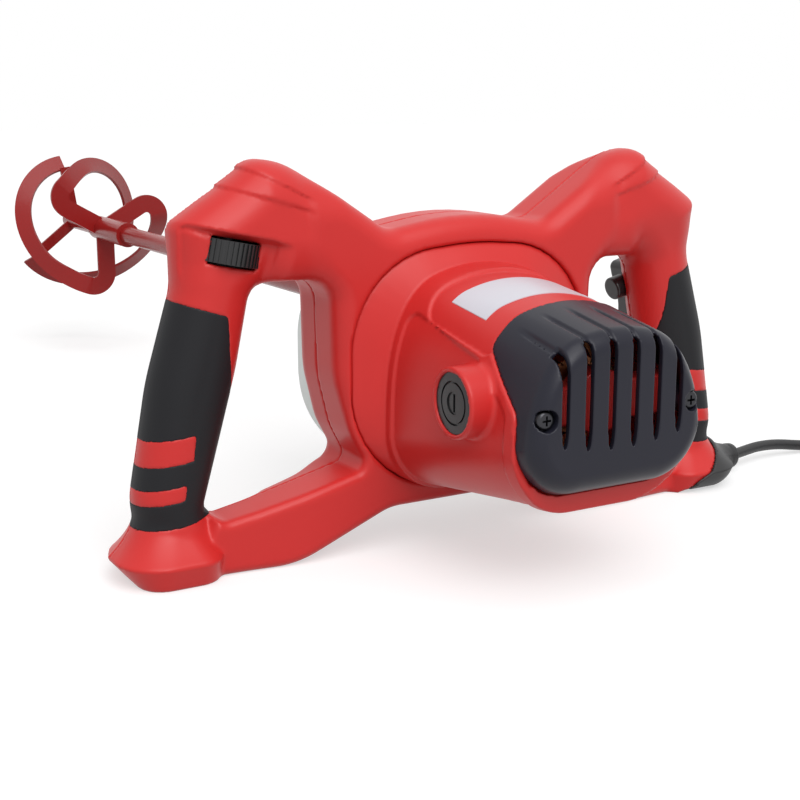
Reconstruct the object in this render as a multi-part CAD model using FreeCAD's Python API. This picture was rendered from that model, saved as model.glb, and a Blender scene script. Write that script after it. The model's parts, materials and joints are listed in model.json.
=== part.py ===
"""Hand-held mixing drill with twin handles, as it comes apart on a bench.

Millimetres. X runs across the handles, +Y along the spindle towards the paddle, +Z up.
The drill stands on its two feet at z = 0. Every piece is drawn with the parting plane of
the handle shells at y = 0, and moved along Y at the end so that the origin lies under the
middle of its length.
"""
import FreeCAD
import Part
import math
import os

V = FreeCAD.Vector

# Handle frame: outline in the XZ plane, seen from the rear
MOTOR_Z = 92.0
FRAME_DEPTH = 52.0
EDGE_R = 11.0
OPEN_W = 140.0
OPEN_H = 123.0
OPEN_R = 54.0
OPEN_DROP = 6.0
OPEN_CROWN_R = 160.0
RING_SIDE = 8.0
RING_TOP = 14.0
RING_BASE = 6.0
DIP_X = 46.0
DIP_DROP = 6.5
ARCH_X = 73.0
ARCH_Z = 179.0
SHOULDER_X = 98.0
SHOULDER_Z = 195.5
BROW_X = 114.0
BROW_Z = 197.0
CORNER_X = 155.5
CORNER_Z = 168.5
HOLE_TOP_Z = 139.5
GRIP_TOP_X = 115.0
GRIP_LEAN = 30.0
GRIP_W = 38.0
GRIP_SWELL = 2.0
GRIP_DEPTH = 42.0
GRIP_ROUND = 18.0
BROW_STEP_X = 106.0
BROW_STEP_Z = 159.5
BROW_SLOPE = 0.24
FOOT_H = 25.0
FOOT_X = 191.0
FOOT_DEPTH = 62.0
FOOT_RIM_Z = 12.0
FOOT_TAPER = 16.0
FOOT_SPAN = 46.0
FOOT_TOP_Z = 29.0
ARM_FOOT_X = 113.0
ARM_H = 31.0
SHELL_WALL = 6.0
FIT_GAP = 0.4
SEAT_GAP = 0.04

# Grip rubber
RUBBER_T = 2.0
RUBBER_EDGE_Y = 3.0
RUBBER_TOP_Z = 138.0
RUBBER_LOW_Z = 31.0
RUBBER_LIP_Y = 9.0
RUBBER_LIP_X = 8.0
STRIPE_TOP_Z = 71.5
STRIPE_H = 12.0
STRIPE_LOW_Z = 41.0
STRIPE_LOW_H = 7.0
STRIPE_SHARE = 0.62

# Handle screws and their bosses
SCREW_R = 2.0
SCREW_HEAD_R = 3.6
SCREW_HEAD_H = 3.0
BOSS_R = 5.0

# Motor housing and its rear cap
FLANGE_Y = 24.0
BARREL_Y = 36.0
BARREL_W = 110.0
BARREL_TOP = 143.5
BARREL_LOW = 31.5
BARREL_TOP_R = 30.0
CROWN_DROP = 13.0
CROWN_R = 80.0
BARREL_LOW_R = 33.0
TAIL_Y = 134.0
TAIL_W = 99.0
TAIL_TOP = 131.0
TAIL_LOW = 43.5
BAND_W = 7.0
BAND_T = 1.6
SEAM_Y = 101.0
SEAM_Z = 116.0
SEAM_STEP = 30.0
CAP_REAR_Y = 146.0
BARREL_WALL = 4.0
CAP_LIFT = 4.5
CAP_WALL = 3.0
CAP_EDGE_R = 9.0
CAP_RISE = 13.0
CAP_FALL = 8.0
GROOVE_L = 26.0
GROOVE_T = 1.2
SLOT_W = 3.4
SLOT_PITCH = 12.6
SLOT_COUNT = 6
SLOT_LOW_Z = 74.0
SLOT_TAPER = 14.0
CAP_SCREW_X = 40.3
CAP_SCREW_RECESS_R = 5.0
LABEL_X = 0.0
LABEL_W = 68.0
LABEL_L = 29.0
LABEL_FRONT = 58.0
LABEL_T = 0.5
LABEL_GAP = 0.3

# Motor
STATOR_R = 44.0
STATOR_BORE = 24.5
STATOR_L = 56.0
STATOR_Y = 26.0
CORE_R = 23.5
SHAFT_R = 6.0
COIL_OVERHANG = 9.0
COMM_R = 18.0
COMM_L = 24.0
BRUSH_Y = 99.0
BRUSH_W = 8.0
BRUSH_H = 16.0
BRUSH_L = 16.0
HOLDER_WALL = 1.5
BRUSH_BOSS_R = 16.5
BRUSH_BOSS_X = 60.0
BRUSH_CAP_R = 14.0
BRUSH_CAP_H = 7.0
REAR_BEARING_R = 11.0
REAR_BEARING_W = 7.0
REAR_BEARING_BORE = 4.0
FAN_R = 38.0
FAN_L = 13.0
FAN_BLADES = 11
PLATE_T = 8.0
FRONT_BEARING_R = 16.0
FRONT_BEARING_W = 10.0

# Gear train: two stages of spur gears
SPINDLE_RISE = 16.2
MODULE_1 = 1.0
PINION_1 = 10
GEAR_1 = 51
MODULE_2 = 1.25
PINION_2 = 11
GEAR_2 = 50
PROFILE_SHIFT = 0.4
BACKLASH = 0.16
GEAR_1_W = 14.0
GEAR_2_W = 18.0
GEAR_GAP = 2.0
COUNTER_R = 6.0
BUSH_R = 10.0
BUSH_L = 9.0
RUN_GAP = 0.05

# Gear case and spindle
CASE_FLANGE_Y = 36.0
CASE_W = 124.0
CASE_H = 104.0
CASE_R = 48.0
CASE_LOW_R = 38.0
CASE_WALL = 5.0
NECK_R = 27.0
NECK_Y = 106.0
BEARING_A_R = 20.0
BEARING_A_W = 12.0
BEARING_B_R = 17.5
BEARING_B_W = 10.0
SPINDLE_R = 8.5
NOSE_R = 12.0
NOSE_L = 28.0
NOSE_GAP = 2.0
THREAD_R = 7.0
CASE_SCREW_R = 2.5
CASE_SCREW_HEAD_R = 4.0
CASE_SCREW_INSET = 6.5
CASE_SCREW_HEAD_H = 4.0

# Mixing paddle
ROD_R = 7.0
ROD_BORE = 5.2
HEX_AF = 22.0
HEX_H = 12.0
PADDLE_R = 58.0
HUB_R = 10.0
HUB_START_Y = 497.0
ARM_NEAR_Y = 556.0
ARM_FAR_Y = 646.0
PADDLE_END_Y = 655.0
BLADE_W = 15.0
BLADE_T = 2.6
BLADE_TURN = 172.0
BLADE_PHASE = 30.0
BLADE_LEAN = 42.0
FAR_ARM_W = 9.0
ELBOW_R = 4.0
BLADE_EASE = 0.12

# Speed dial on the left shoulder
DIAL_X = 128.0
DIAL_Y = 7.5
DIAL_Z = 154.8
DIAL_TILT = 12.0
DIAL_R = 18.0
DIAL_T = 11.0
DIAL_KNURLS = 40
DIAL_WINDOW = 27.0
POT_SHAFT_R = 3.0
MODULE_W = 16.0
MODULE_H = 16.0
MODULE_REAR = 4.0

# Trigger and lock button on the right grip
TRIGGER_Z = 112.0
TRIGGER_W = 15.0
TRIGGER_H = 40.0
TRIGGER_REACH = 9.0
TRIGGER_TRAVEL = 6.0
SWITCH_W = 20.0
SWITCH_D = 22.0
SWITCH_H = 50.0
LOCK_R = 6.5
LOCK_STEM_R = 2.2
LOCK_Y = 9.0
LOCK_Z = 123.0
LOCK_REACH = 4.5
LOCK_TRAVEL = 3.0

# Cord, boot, coil and plug
CORD_R = 3.25
BOOT_CUT_Z = 11.0
BOOT_R = 10.5
BOOT_NECK_R = 6.6
BOOT_COLLAR_R = 7.6
BOOT_COLLAR_L = 5.0
BOOT_TIP = 14.0
CLAMP_W = 8.0
CLAMP_T = 3.0
CLAMP_X = 154.0
CLAMP_GAP = 0.5
CLAMP_SCREW_R = 1.25
COIL_X = 322.0
COIL_Y = -52.0
COIL_MEAN_R = 38.5
COIL_TURNS = 4
COIL_PITCH = 7.1
COIL_LAYER = 7.1
TIE_W = 14.0
TIE_T = 1.6
TIE_GAP = 0.8
PLUG_R = 17.0
PLUG_L = 36.0
PLUG_SLEEVE_L = 24.0
PIN_R = 2.4
PIN_L = 19.0
PIN_PITCH = 19.0
PLUG_LIFT = 0.2

# Places worked out from the sizes above
SPINDLE_Z = MOTOR_Z + SPINDLE_RISE
HALF_DEPTH = FRAME_DEPTH / 2
GRIP_HALF = GRIP_DEPTH / 2
OPEN_HIGH = MOTOR_Z + OPEN_H / 2
OPEN_LOW = MOTOR_Z - OPEN_H / 2
HOLE_SIDE_X = OPEN_W / 2 + RING_SIDE
GRIP_FOOT_X = GRIP_TOP_X + GRIP_LEAN
GRIP_TILT = math.degrees(math.atan2(GRIP_LEAN, HOLE_TOP_Z - FOOT_H))
ORIGIN_Y = (PADDLE_END_Y - CAP_REAR_Y) / 2
COIL_EXIT_Z = PLUG_R + PLUG_LIFT
CORD_START = V(148.0, -6.6, 15.4)
CORD_NEXT = V(165.0, -5.0, 13.4)
CORD_IN = V(176.0, -3.9, 11.9)
CORD_OUT = V(206.0, -0.4, 8.6)
CLAMP_SHARE = (CLAMP_X - CORD_START.x) / (CORD_NEXT.x - CORD_START.x)
CLAMP_AT = CORD_START + (CORD_NEXT - CORD_START) * CLAMP_SHARE
CLAMP_Y = CLAMP_AT.y + CORD_R + CLAMP_GAP


def rounded(points, y):
    """Closed wire at the given y through (x, z, radius) corners, each a tangent arc."""
    count = len(points)
    starts, ends, mids = [], [], []
    for i, (x, z, radius) in enumerate(points):
        corner = V(x, y, z)
        before = points[i - 1]
        after = points[(i + 1) % count]
        u = (V(before[0], y, before[1]) - corner).normalize()
        w = (V(after[0], y, after[1]) - corner).normalize()
        half = u.getAngle(w) / 2
        reach = radius / math.tan(half)
        starts.append(corner + u * reach)
        ends.append(corner + w * reach)
        mids.append(corner + (u + w).normalize() * (radius / math.sin(half) - radius))
    edges = []
    for i in range(count):
        edges.append(Part.Arc(starts[i], mids[i], ends[i]).toShape())
        following = starts[(i + 1) % count]
        if ends[i].distanceToPoint(following) > 1e-6:
            edges.append(Part.LineSegment(ends[i], following).toShape())
    return Part.Wire(edges)


def inset(points, d):
    """The same outline moved inwards by d, or outwards where d is negative."""
    count = len(points)
    area = sum(points[i - 1][0] * points[i][1] - points[i][0] * points[i - 1][1] for i in range(count))
    turn = 1 if area > 0 else -1
    moved = []
    for i, (x, z, radius) in enumerate(points):
        before = points[i - 1]
        after = points[(i + 1) % count]
        a = V(x - before[0], 0, z - before[1]).normalize()
        b = V(after[0] - x, 0, after[1] - z).normalize()
        n1 = V(-a.z, 0, a.x) * turn
        n2 = V(-b.z, 0, b.x) * turn
        shift = (n1 + n2) * (d / (1 + n1.dot(n2)))
        convex = (a.x * b.z - a.z * b.x) * turn > 0
        moved.append((x + shift.x, z + shift.z, max(radius - d if convex else radius + d, 0.4)))
    return moved


def prism(points, y0, y1):
    return Part.Face(rounded(points, y0)).extrude(V(0, y1 - y0, 0))


def loft(sections):
    """Ruled solid through (points, y) sections that have the same corners."""
    return Part.makeLoft([rounded(points, y) for points, y in sections], True, True)


def rounded_box(width, low, high, top_r, low_r):
    """Upright rectangle with one radius at its upper and one at its lower corners."""
    half = width / 2
    return [(half, high, top_r), (half, low, low_r), (-half, low, low_r), (-half, high, top_r)]


def crowned_box(width, low, high, drop, crown_r, top_r, low_r):
    """Upright rectangle whose top is an arch that falls by drop towards the corners."""
    half = width / 2
    slope = math.atan2(drop, half)
    peak = high + crown_r * (1 / math.cos(slope) - 1)
    side = peak - drop
    right = [(half, side, top_r), (half, low, low_r)]
    return right + [(-half, low, low_r), (-half, side, top_r), (0, peak, crown_r)]


def between(first, second, t):
    """Outline a share t of the way from one outline to another with as many corners."""
    return [tuple(p + (q - p) * t for p, q in zip(a, b)) for a, b in zip(first, second)]


def box(x0, x1, y0, y1, z0, z1):
    return Part.makeBox(x1 - x0, y1 - y0, z1 - z0, V(x0, y0, z0))


def rod_y(radius, y0, y1, x=0.0, z=MOTOR_Z):
    return Part.makeCylinder(radius, y1 - y0, V(x, y0, z), V(0, 1, 0))


def tube_y(outer, inner, y0, y1, x=0.0, z=MOTOR_Z):
    return rod_y(outer, y0, y1, x, z).cut(rod_y(inner, y0 - 1, y1 + 1, x, z))


def cone_y(r0, r1, y0, y1, x=0.0, z=MOTOR_Z):
    return Part.makeCone(r0, r1, y1 - y0, V(x, y0, z), V(0, 1, 0))


def rod_x(radius, x0, x1, y, z):
    return Part.makeCylinder(radius, abs(x1 - x0), V(x0, y, z), V(1 if x1 > x0 else -1, 0, 0))


def fuse(shapes):
    return shapes[0].multiFuse(shapes[1:]).removeSplitter()


def mirrored(shape):
    return shape.mirror(V(0, 0, 0), V(1, 0, 0))


def side_prism(points, x0, x1):
    """Prism along X of a YZ polygon."""
    corners = [V(x0, y, z) for y, z in points]
    return Part.Face(Part.makePolygon(corners + corners[:1])).extrude(V(x1 - x0, 0, 0))


def placed(shape, tilt, x, y, z):
    """A piece drawn at the origin, turned about Y and moved to its place."""
    turned = shape.copy()
    turned.rotate(V(0, 0, 0), V(0, 1, 0), tilt)
    turned.translate(V(x, y, z))
    return turned


def grip_x(z):
    """Inner edge of the right grip at a height."""
    return GRIP_TOP_X + GRIP_LEAN * (HOLE_TOP_Z - z) / (HOLE_TOP_Z - FOOT_H)


def whole(right):
    return right + [(-x, z, r) for x, z, r in reversed(right)]


def frame_outline():
    ring_top = OPEN_HIGH + RING_TOP
    ring_base = OPEN_LOW - RING_BASE
    waist_z = HOLE_TOP_Z - 1
    swell_z = (HOLE_TOP_Z + FOOT_H) / 2 + 12
    knee_z = FOOT_H + 14
    arm_slope = (ring_base + 0.001) / (ARM_FOOT_X - HOLE_SIDE_X + 19)
    right = [
        (DIP_X, ring_top - DIP_DROP, 14),
        (ARCH_X, ARCH_Z, 30),
        (SHOULDER_X, SHOULDER_Z, 36),
        (BROW_X, BROW_Z, 16),
        (CORNER_X, CORNER_Z, 14),
        (grip_x(waist_z) + GRIP_W, waist_z, 30),
        (grip_x(swell_z) + GRIP_W + GRIP_SWELL, swell_z, 150),
        (grip_x(knee_z) + GRIP_W - GRIP_SWELL, knee_z, 24),
        (FOOT_X - FOOT_TAPER - 2, FOOT_H - 5, 14),
        (FOOT_X - FOOT_TAPER - 9, 0, 14),
        (ARM_FOOT_X, 0, 55),
        (ARM_FOOT_X - ring_base / arm_slope, ring_base, 30),
    ]
    crown = (0, ring_top + 1.5, 160)
    return whole(right) + [crown]


def hole_outline(side):
    swell_z = (HOLE_TOP_Z + FOOT_H) / 2 + 16
    right = [
        (HOLE_SIDE_X, HOLE_TOP_Z, 13),
        (GRIP_TOP_X, HOLE_TOP_Z, 12),
        (grip_x(swell_z) - GRIP_SWELL, swell_z, 150),
        (GRIP_FOOT_X, FOOT_H, 9),
        (ARM_FOOT_X + 6, FOOT_H + 5, 45),
        (HOLE_SIDE_X - 9, OPEN_LOW + 20, 9),
        (HOLE_SIDE_X - 1, MOTOR_Z - 2, 60),
    ]
    return [(side * x, z, r) for x, z, r in right]


def open_outline():
    return crowned_box(OPEN_W, OPEN_LOW, OPEN_HIGH, OPEN_DROP, OPEN_CROWN_R, OPEN_R, OPEN_R)


def plan_wire(x0, x1, half_y, inner_r, outer_r, z):
    """Rectangle lying flat at a height, with one radius at its inner and one at its outer end."""
    corners = [(x1, half_y, outer_r), (x1, -half_y, outer_r), (x0, -half_y, inner_r), (x0, half_y, inner_r)]
    wire = rounded(corners, 0)
    wire.rotate(V(0, 0, 0), V(1, 0, 0), 90)
    wire.translate(V(0, 0, z))
    return wire


def foot(side, d):
    """Flared foot: widest at its rim, drawn in below it and up to the grip above."""
    inner = FOOT_X - FOOT_SPAN
    half = FOOT_DEPTH / 2 - d
    waist = grip_x(FOOT_TOP_Z) + GRIP_W - GRIP_SWELL - d
    sections = [
        plan_wire(inner + d, FOOT_X - FOOT_TAPER - d, half - 6, 5, 15, d),
        plan_wire(inner - 2 + d, FOOT_X - d, half, 6, half - 3, FOOT_RIM_Z),
        plan_wire(grip_x(FOOT_TOP_Z) + 1 + d, waist, GRIP_HALF - 2 - d, 12, 14, FOOT_TOP_Z),
    ]
    shape = Part.makeLoft(sections, True, True)
    return shape if side > 0 else mirrored(shape)


def grip_relief(side, d):
    """What is taken off under one shoulder so that the grip is a rounded bar, thinner than the frame."""
    far = FOOT_X + FRAME_DEPTH
    zone = [
        (far, BROW_STEP_Z + BROW_SLOPE * (far - BROW_STEP_X), 3),
        (BROW_STEP_X, BROW_STEP_Z, 3),
        (GRIP_TOP_X - 4, HOLE_TOP_Z - 4, 3),
        (GRIP_FOOT_X - 10, FOOT_H + 8, 3),
        (GRIP_FOOT_X + 6, FOOT_H + 2, 3),
        (far, FOOT_H + 2, 3),
    ]
    half = GRIP_W / 2 + GRIP_SWELL + 1 - d
    deep = GRIP_HALF - d
    round_r = GRIP_ROUND - d
    right = [(half, deep, round_r), (half, -deep, round_r)]
    left = [(-half, -deep, round_r), (-half, deep, round_r)]
    section = rounded(right + left, 0)
    section.rotate(V(0, 0, 0), V(1, 0, 0), 90)
    section.translate(V(0, 0, -SHOULDER_Z))
    bar = Part.Face(section).extrude(V(0, 0, 2 * SHOULDER_Z))
    middle_z = (HOLE_TOP_Z + FOOT_H) / 2
    bar = placed(bar, -GRIP_TILT, grip_x(middle_z) + GRIP_W / 2, 0, middle_z)
    relief = prism(inset(zone, -d), -FRAME_DEPTH, FRAME_DEPTH).cut(bar)
    return relief if side > 0 else mirrored(relief)


def frame_body(d):
    """Frame with its hand holes, rounded edges and feet, drawn in by d all over."""
    depth = HALF_DEPTH - d
    body = prism(inset(frame_outline(), d), -depth, depth)
    for side in (1, -1):
        body = body.cut(prism(inset(hole_outline(side), -d), -FRAME_DEPTH, FRAME_DEPTH))
    rims = [e for e in body.Edges if abs(abs(e.BoundBox.YMin + e.BoundBox.YMax) / 2 - depth) < 1e-4]
    body = body.makeFillet(EDGE_R - d, rims)
    body = body.cut([grip_relief(1, d), grip_relief(-1, d)])
    return body.fuse([foot(1, d), foot(-1, d)])


def frame_cavity():
    inner = HALF_DEPTH - SHELL_WALL
    cavity = prism(inset(frame_outline(), SHELL_WALL), -inner, inner)
    walls = [hole_outline(1), hole_outline(-1), open_outline()]
    for wall in walls:
        cavity = cavity.cut(prism(inset(wall, -SHELL_WALL), -FRAME_DEPTH, FRAME_DEPTH))
    return cavity.cut([grip_relief(1, SHELL_WALL), grip_relief(-1, SHELL_WALL)])


def rubber_zone(side):
    """Prism over the rear half of one grip, with windows where the stripes show."""
    right = [
        (FOOT_X, RUBBER_TOP_Z + 8, 2),
        (grip_x(RUBBER_TOP_Z) + 17, RUBBER_TOP_Z - 12, 3),
        (grip_x(RUBBER_TOP_Z) + 16, RUBBER_TOP_Z - 30, 20),
        (grip_x(78) - 4, 78, 20),
        (grip_x(RUBBER_LOW_Z) - 14, RUBBER_LOW_Z, 2),
        (FOOT_X, RUBBER_LOW_Z, 2),
    ]
    outline = [(side * x, z, r) for x, z, r in right]
    zone = prism(outline, -FRAME_DEPTH, -RUBBER_EDGE_Y)
    lip = prism(outline, -FRAME_DEPTH, RUBBER_LIP_Y)
    far = 2 * FOOT_X
    outer = [(RUBBER_LIP_X, far, 1), (far, far, 1), (far, -far, 1), (RUBBER_LIP_X, -far, 1)]
    outer_side = trigger_frame(prism(outer, -FRAME_DEPTH, FRAME_DEPTH))
    zone = zone.fuse(lip.common(outer_side if side > 0 else mirrored(outer_side)))
    for low, height in ((STRIPE_TOP_Z - STRIPE_H, STRIPE_H), (STRIPE_LOW_Z, STRIPE_LOW_H)):
        inner = grip_x(low) + GRIP_W * (1 - STRIPE_SHARE)
        slant = 0.25 * height
        window = [
            (side * inner, low, 0.8),
            (side * (inner - slant / 2), low + height, 0.8),
            (side * FOOT_X, low + height, 0.8),
            (side * FOOT_X, low, 0.8),
        ]
        zone = zone.cut(prism(window, -FRAME_DEPTH, FRAME_DEPTH))
    return zone


def boss_places():
    """Handle screw places: shoulder, lower arm and foot on each side."""
    right = [
        (SHOULDER_X, (SHOULDER_Z + HOLE_TOP_Z) / 2),
        (ARM_FOOT_X - 16, ARM_H * 0.75),
        (GRIP_FOOT_X - 4, FOOT_H * 0.5),
    ]
    return right + [(-x, z) for x, z in right]


def trigger_frame(shape, y=0.0):
    """Places a piece drawn about the right grip's own axis."""
    return placed(shape, -GRIP_TILT, grip_x(TRIGGER_Z) + GRIP_W / 2, y, TRIGGER_Z)


def trigger_blank(gap):
    half = TRIGGER_W / 2 + gap
    tall = TRIGGER_H / 2 + gap
    outline = [(half, tall, 4), (half, -tall, 4), (-half, -tall, 4), (-half, tall, 4)]
    return outline


def trigger():
    """Finger trigger: a domed lever with a tongue that slides in the switch."""
    front = GRIP_HALF + TRIGGER_REACH
    lever = prism(trigger_blank(0), SWITCH_D / 2 + TRIGGER_TRAVEL + 0.5, front)
    face = [e for e in lever.Edges if e.BoundBox.YMin > front - 1e-4]
    lever = lever.makeFillet(3.0, face)
    finger = rod_x(30, -TRIGGER_W, TRIGGER_W, front + 26, 0)
    lever = lever.cut(finger)
    tongue = box(-4, 4, SWITCH_D / 2 - 12, SWITCH_D / 2 + TRIGGER_TRAVEL + 1.5, -7, 7)
    return trigger_frame(fuse([lever, tongue]))


def trigger_switch():
    """Switch block in the right grip, with the socket that guides the trigger's tongue."""
    y0 = -SWITCH_D / 2
    block = box(-SWITCH_W / 2, SWITCH_W / 2, y0, SWITCH_D / 2, -SWITCH_H / 2, SWITCH_H / 2)
    socket = box(-4.1, 4.1, SWITCH_D / 2 - 19, SWITCH_D, -7.1, 7.1)
    way_end = -SWITCH_W / 2 + LOCK_TRAVEL + 4
    lock_way = rod_x(LOCK_STEM_R + FIT_GAP, -SWITCH_W, way_end, LOCK_Y, LOCK_Z - TRIGGER_Z)
    rest = box(-6, 6, -GRIP_HALF + SHELL_WALL + 0.2, y0, -8, 8)
    return trigger_frame(fuse([block, rest]).cut(socket).cut(lock_way))


def lock_button():
    """Round lock-on button that slides through the inner wall of the right grip."""
    wall_x = -GRIP_W / 2
    z = LOCK_Z - TRIGGER_Z
    cap_end = wall_x + SHELL_WALL - LOCK_TRAVEL + 0.6
    cap = rod_x(LOCK_R, wall_x - LOCK_REACH, cap_end, LOCK_Y, z)
    cap = cap.makeFillet(1.2, [e for e in cap.Edges if e.BoundBox.XMax < wall_x - LOCK_REACH + 1e-4])
    stem = rod_x(LOCK_STEM_R, cap_end - 1, -SWITCH_W / 2 + 2, LOCK_Y, z)
    return trigger_frame(fuse([cap, stem]))


def lock_bore():
    inner_end = -GRIP_W / 2 + SHELL_WALL + 3
    return trigger_frame(rod_x(LOCK_R + RUN_GAP, -GRIP_W, inner_end, LOCK_Y, LOCK_Z - TRIGGER_Z))


def dial_frame(shape):
    return placed(shape, DIAL_TILT, -DIAL_X, -DIAL_Y, DIAL_Z)


def speed_dial():
    """Thumbwheel with a knurled rim and a smooth flat, turning on the potentiometer shaft."""
    half = DIAL_T / 2
    wheel = Part.makeCylinder(DIAL_R, DIAL_T, V(0, 0, -half))
    rims = [e for e in wheel.Edges if e.Curve.TypeId == "Part::GeomCircle"]
    wheel = wheel.makeFillet(0.8, rims)
    bore = Part.makeCylinder(POT_SHAFT_R + RUN_GAP, 2 * DIAL_T, V(0, 0, -DIAL_T))
    grooves = []
    for i in range(DIAL_KNURLS):
        angle = 360.0 * i / DIAL_KNURLS
        groove = Part.makeCylinder(0.55, DIAL_T, V(DIAL_R + 0.2, 0, -half))
        groove.rotate(V(0, 0, 0), V(0, 0, 1), angle)
        grooves.append(groove)
    return dial_frame(wheel.cut(grooves).cut(bore))


def speed_module():
    """Potentiometer and speed control block under the dial."""
    half = MODULE_W / 2
    top = -DIAL_T / 2 - 1.0
    base = box(-half, half, -MODULE_REAR, MODULE_W - MODULE_REAR, top - MODULE_H, top)
    shaft = Part.makeCylinder(POT_SHAFT_R, MODULE_H + DIAL_T + 2, V(0, 0, top - MODULE_H / 2))
    return dial_frame(fuse([base, shaft]))


def dial_cuts():
    """Window for the dial in the face under the shoulder, and room for the wheel behind it."""
    half = DIAL_WINDOW / 2
    tall = DIAL_T / 2 + 0.6
    window = dial_frame(box(-half, half, -FRAME_DEPTH, 0, -tall, tall))
    room = dial_frame(Part.makeCylinder(DIAL_R + 0.8, 2 * tall, V(0, 0, -tall)))
    return [window, room]


def boot_zone():
    """Everything under the slanted line where the boot takes over the right foot."""
    low = FOOT_X - FOOT_SPAN + 1
    far = 2 * FOOT_X
    corners = [V(low, 0, -1), V(FOOT_X + 1, 0, BOOT_CUT_Z), V(far, 0, BOOT_CUT_Z), V(far, 0, -1)]
    face = Part.Face(Part.makePolygon(corners + corners[:1]))
    face.translate(V(0, -FOOT_DEPTH, 0))
    return face.extrude(V(0, 2 * FOOT_DEPTH, 0))


def clamp_screw_places():
    reach = CORD_R + 2.75
    return [(CLAMP_X, CLAMP_AT.z + sign * reach) for sign in (1, -1)]


def handle_shell(rear, body, cavity, rubbers, cord_way):
    """One half of the frame: hollow, with screw bosses, split at the mid-plane."""
    y0, y1 = (-FRAME_DEPTH, 0) if rear else (0, FRAME_DEPTH)
    half_space = box(-2 * FOOT_X, 2 * FOOT_X, y0, y1, -10, 2 * SHOULDER_Z)
    shell = body.common(half_space).cut(cavity)
    shell = shell.cut(prism(open_outline(), -FRAME_DEPTH, FRAME_DEPTH))
    wall_y = HALF_DEPTH - SHELL_WALL
    for x, z in boss_places():
        span = (-wall_y - 1, 0) if rear else (0, wall_y + 1)
        shell = shell.fuse(rod_y(BOSS_R, span[0], span[1], x, z))
    for x, z in boss_places():
        if rear:
            shell = shell.cut(rod_y(SCREW_R + SEAT_GAP, -wall_y + 4, 1, x, z))
        else:
            shell = shell.cut(rod_y(SCREW_R + 0.2, -1, FRAME_DEPTH, x, z))
            shell = shell.cut(rod_y(SCREW_HEAD_R + 0.3, wall_y - 2, FRAME_DEPTH, x, z))
    shell = shell.cut(boot_zone()).cut(cord_way)
    if rear:
        for x, z in clamp_screw_places():
            post = rod_y(2.6, -wall_y - 1, CLAMP_Y, x, z)
            shell = shell.fuse(post).cut(rod_y(CLAMP_SCREW_R + SEAT_GAP, -wall_y + 4, 0, x, z))
        return shell.cut(rubbers).cut(dial_cuts())
    opening = trigger_frame(prism(trigger_blank(0.5), 0, FRAME_DEPTH))
    return shell.cut(rubbers).cut(opening).cut(lock_bore()).cut(dial_cuts()[1])


def handle_screws():
    """Six screws from the front shell into the rear bosses."""
    head_y = HALF_DEPTH - SHELL_WALL - 2
    screws = []
    for x, z in boss_places():
        head = rod_y(SCREW_HEAD_R, head_y, head_y + SCREW_HEAD_H, x, z)
        shank = rod_y(SCREW_R, -HALF_DEPTH + SHELL_WALL + 5, head_y, x, z)
        cross = box(x - 2, x + 2, head_y + 1.5, head_y + 9, z - 0.5, z + 0.5)
        cross = cross.fuse(box(x - 0.5, x + 0.5, head_y + 1.5, head_y + 9, z - 2, z + 2))
        screws.append(fuse([head, shank]).cut(cross))
    return screws


def barrel_size(y):
    """Width, lower and upper edge of the motor barrel at a distance behind the parting plane."""
    t = (y - BARREL_Y) / (TAIL_Y - BARREL_Y)
    width = BARREL_W + (TAIL_W - BARREL_W) * t
    low = BARREL_LOW + (TAIL_LOW - BARREL_LOW) * t
    high = BARREL_TOP + (TAIL_TOP - BARREL_TOP) * t
    return width, low, high


def barrel_section(y):
    width, low, high = barrel_size(y)
    return crowned_box(width, low, high, CROWN_DROP, CROWN_R, BARREL_TOP_R, BARREL_LOW_R)


def barrel(d):
    return loft([(inset(barrel_section(y), d), -y) for y in (TAIL_Y, BARREL_Y)])


def seam_profile(gap):
    """Side outline of everything behind the stepped seam between housing and cap."""
    return [
        (-SEAM_Y - gap, MOTOR_Z + BARREL_W),
        (-SEAM_Y - gap, SEAM_Z),
        (-SEAM_Y - SEAM_STEP - gap, MOTOR_Z - 1),
        (-TAIL_Y - gap, TAIL_LOW + 14),
        (-TAIL_Y + 9 - gap, BARREL_LOW - 10),
        (-2 * TAIL_Y, BARREL_LOW - 10),
        (-2 * TAIL_Y, MOTOR_Z + BARREL_W),
    ]


def band_windows():
    """Sunk fields between the raised bands: the label field on top and one on each side."""
    top = box(-BARREL_W / 2 + 12, BARREL_W / 2 - 12, -SEAM_Y, -BARREL_Y - 9, MOTOR_Z + 20, BARREL_TOP + 9)
    step = -SEAM_Y - SEAM_STEP + BAND_W
    flank = [
        (-BARREL_Y, BARREL_TOP - 19),
        (-SEAM_Y + 4, SEAM_Z - 6),
        (step, MOTOR_Z - 1),
        (step - 1, BARREL_LOW - 5),
        (-BARREL_Y, BARREL_LOW - 5),
    ]
    return [top, side_prism(flank, -BARREL_W, -BARREL_W * 0.3), side_prism(flank, BARREL_W * 0.3, BARREL_W)]


def stator_seats():
    """Two rings inside the barrel that hold the stator; the corners stay open for air."""
    back = -STATOR_Y - STATOR_L
    return [tube_y(BARREL_W, STATOR_R, back - 2, back + 9), tube_y(BARREL_W, STATOR_R, -STATOR_Y - 10, 0)]


def case_screw_places():
    reach_x = OPEN_W / 2 - OPEN_R + (OPEN_R - CASE_SCREW_INSET) * math.sqrt(0.5)
    reach_z = OPEN_H / 2 - OPEN_R + (OPEN_R - CASE_SCREW_INSET) * math.sqrt(0.5)
    return [(sx * reach_x, MOTOR_Z + sz * reach_z) for sx in (1, -1) for sz in (1, -1)]


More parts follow.
